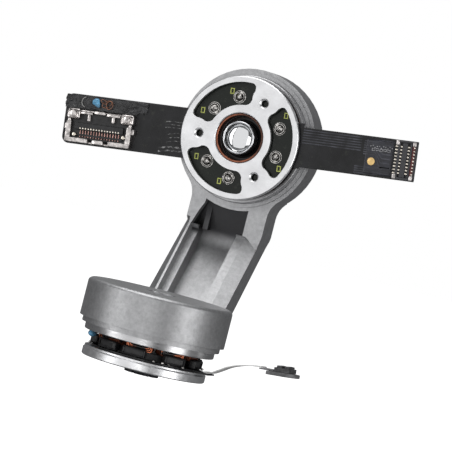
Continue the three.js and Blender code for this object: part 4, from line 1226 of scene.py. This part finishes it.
class GIMBAL_OT_stage(MakerOperator):
    """Make the floor, backdrop, soft lights and camera"""

    bl_idname = "gimbal.stage"
    bl_label = "Stage"

    def make(self):
        self.floor()
        self.backdrop()
        self.lights()
        self.camera()

    def floor(self):
        clear_selection()
        bpy.ops.mesh.primitive_circle_add(
            vertices=96, radius=1.9, fill_type="NGON", location=(0, 0, -sizes().floor_drop))
        floor = added("pale_floor")
        apply_place()
        shader = self.whiten(floor, colours().floor, 0.7)
        shader.bump(shader.noise(shader.place(), 3, 3), 0.02, 0.3)

    def backdrop(self):
        """A far white dome that only the camera sees."""
        clear_selection()
        bpy.ops.mesh.primitive_uv_sphere_add(segments=64, ring_count=32, radius=2.2)
        dome = added("white_backdrop")
        shader = self.whiten(dome, (0, 0, 0), 1.0)
        shader.set("Specular IOR Level", 0)

    def whiten(self, surface, colour, roughness):
        """Gives a stage surface a white glow that only the camera sees."""
        shader = Shader(surface.name, colour, 0.0, roughness)
        shader.set("Emission Color", (1, 1, 1, 1))
        shader.set("Emission Strength", 1.0)
        surface.data.materials.append(shader.material)
        for ray in ("diffuse", "glossy", "transmission", "shadow", "volume_scatter"):
            setattr(surface, f"visible_{ray}", False)
        return shader

    def lights(self):
        """Softboxes above, left, right and in front, in a dim room."""
        self.softbox("top", (-0.1, -0.06, 0.56), (0.52, 0.44), 2.1)
        self.softbox("left", (-0.45, -0.44, 0.05), (0.2, 0.5), 0.85)
        self.softbox("right", (0.56, -0.2, 0.04), (0.24, 0.5), 1.2)
        self.softbox("front", (-0.2, -0.72, 0.05), (0.5, 0.8), 0.88)
        self.softbox("front_right", (0.15, -0.73, 0.0), (0.22, 0.34), 0.55)
        world = bpy.data.worlds.new("studio")
        world.use_nodes = True
        background = world.node_tree.nodes["Background"]
        background.inputs["Color"].default_value = (0.97, 0.98, 1, 1)
        background.inputs["Strength"].default_value = 0.13
        scene = bpy.context.scene
        scene.world = world
        scene.view_settings.view_transform = "Standard"

    def softbox(self, name, place, size, power):
        aim = Vector((0, 0.008, 0.022))
        data = bpy.data.lights.new(name, "AREA")
        data.shape = "RECTANGLE"
        data.size, data.size_y = size
        data.energy = power
        lamp = bpy.data.objects.new(name, data)
        bpy.context.scene.collection.objects.link(lamp)
        lamp.location = place
        lamp.rotation_euler = (aim - Vector(place)).to_track_quat("-Z", "Y").to_euler()

    def camera(self):
        """Long-lens camera a little to the right of the part, turned on its own axis."""
        azimuth, elevation, roll = map(math.radians, (18.55, 1.45, 14.31))
        distance, aim = 0.447, Vector((0, 0.010, 0.022))
        side_shift, lift = 0.00276, -0.00148
        back = Vector((math.sin(azimuth) * math.cos(elevation),
                       -math.cos(azimuth) * math.cos(elevation), math.sin(elevation)))
        level = Vector((math.cos(azimuth), math.sin(azimuth), 0))
        upright = back.cross(level)
        right = math.cos(roll) * level + math.sin(roll) * upright
        up = math.cos(roll) * upright - math.sin(roll) * level
        data = bpy.data.cameras.new("camera")
        data.sensor_width = 36
        data.lens = 256.7
        data.clip_start, data.clip_end = 0.01, 10
        camera = bpy.data.objects.new("camera", data)
        bpy.context.scene.collection.objects.link(camera)
        turn = Matrix((right, up, back)).transposed().to_4x4()
        camera.matrix_world = Matrix.Translation(
            aim + back * distance + right * side_shift + up * lift) @ turn
        bpy.context.scene.camera = camera


class GIMBAL_PT_panel(bpy.types.Panel):
    """Sidebar list of the sizes, colours and pieces"""

    bl_idname = "GIMBAL_PT_panel"
    bl_label = "Camera Gimbal Arm"
    bl_space_type = "VIEW_3D"
    bl_region_type = "UI"
    bl_category = "Gimbal"

    def draw(self, context):
        for group in (context.scene.gimbal_sizes, context.scene.gimbal_colours):
            box = self.layout.box()
            for name in group.__annotations__:
                box.prop(group, name)
        for operator in OPERATORS:
            self.layout.operator(operator.bl_idname)


OPERATORS = (
    GIMBAL_OT_stage,
    GIMBAL_OT_arm,
    GIMBAL_OT_plates,
    GIMBAL_OT_rings,
    GIMBAL_OT_windings,
    GIMBAL_OT_pan_terminals,
    GIMBAL_OT_solder_joints,
    GIMBAL_OT_board_marks,
    GIMBAL_OT_flex_tails,
    GIMBAL_OT_tail_parts,
    GIMBAL_OT_coax_connector,
    GIMBAL_OT_board_connector,
    GIMBAL_OT_potting,
    GIMBAL_OT_pan_tail,
)
CLASSES = (GimbalSizes, GimbalColours, *OPERATORS, GIMBAL_PT_panel)


def register():
    for cls in CLASSES:
        bpy.utils.register_class(cls)
    bpy.types.Scene.gimbal_sizes = PointerProperty(type=GimbalSizes)
    bpy.types.Scene.gimbal_colours = PointerProperty(type=GimbalColours)


def unregister():
    del bpy.types.Scene.gimbal_colours
    del bpy.types.Scene.gimbal_sizes
    for cls in reversed(CLASSES):
        bpy.utils.unregister_class(cls)


def main():
    register()
    for operator in OPERATORS:
        group, name = operator.bl_idname.split(".")
        getattr(getattr(bpy.ops, group), name)()
    clear_selection()


if __name__ == "__main__":
    main()
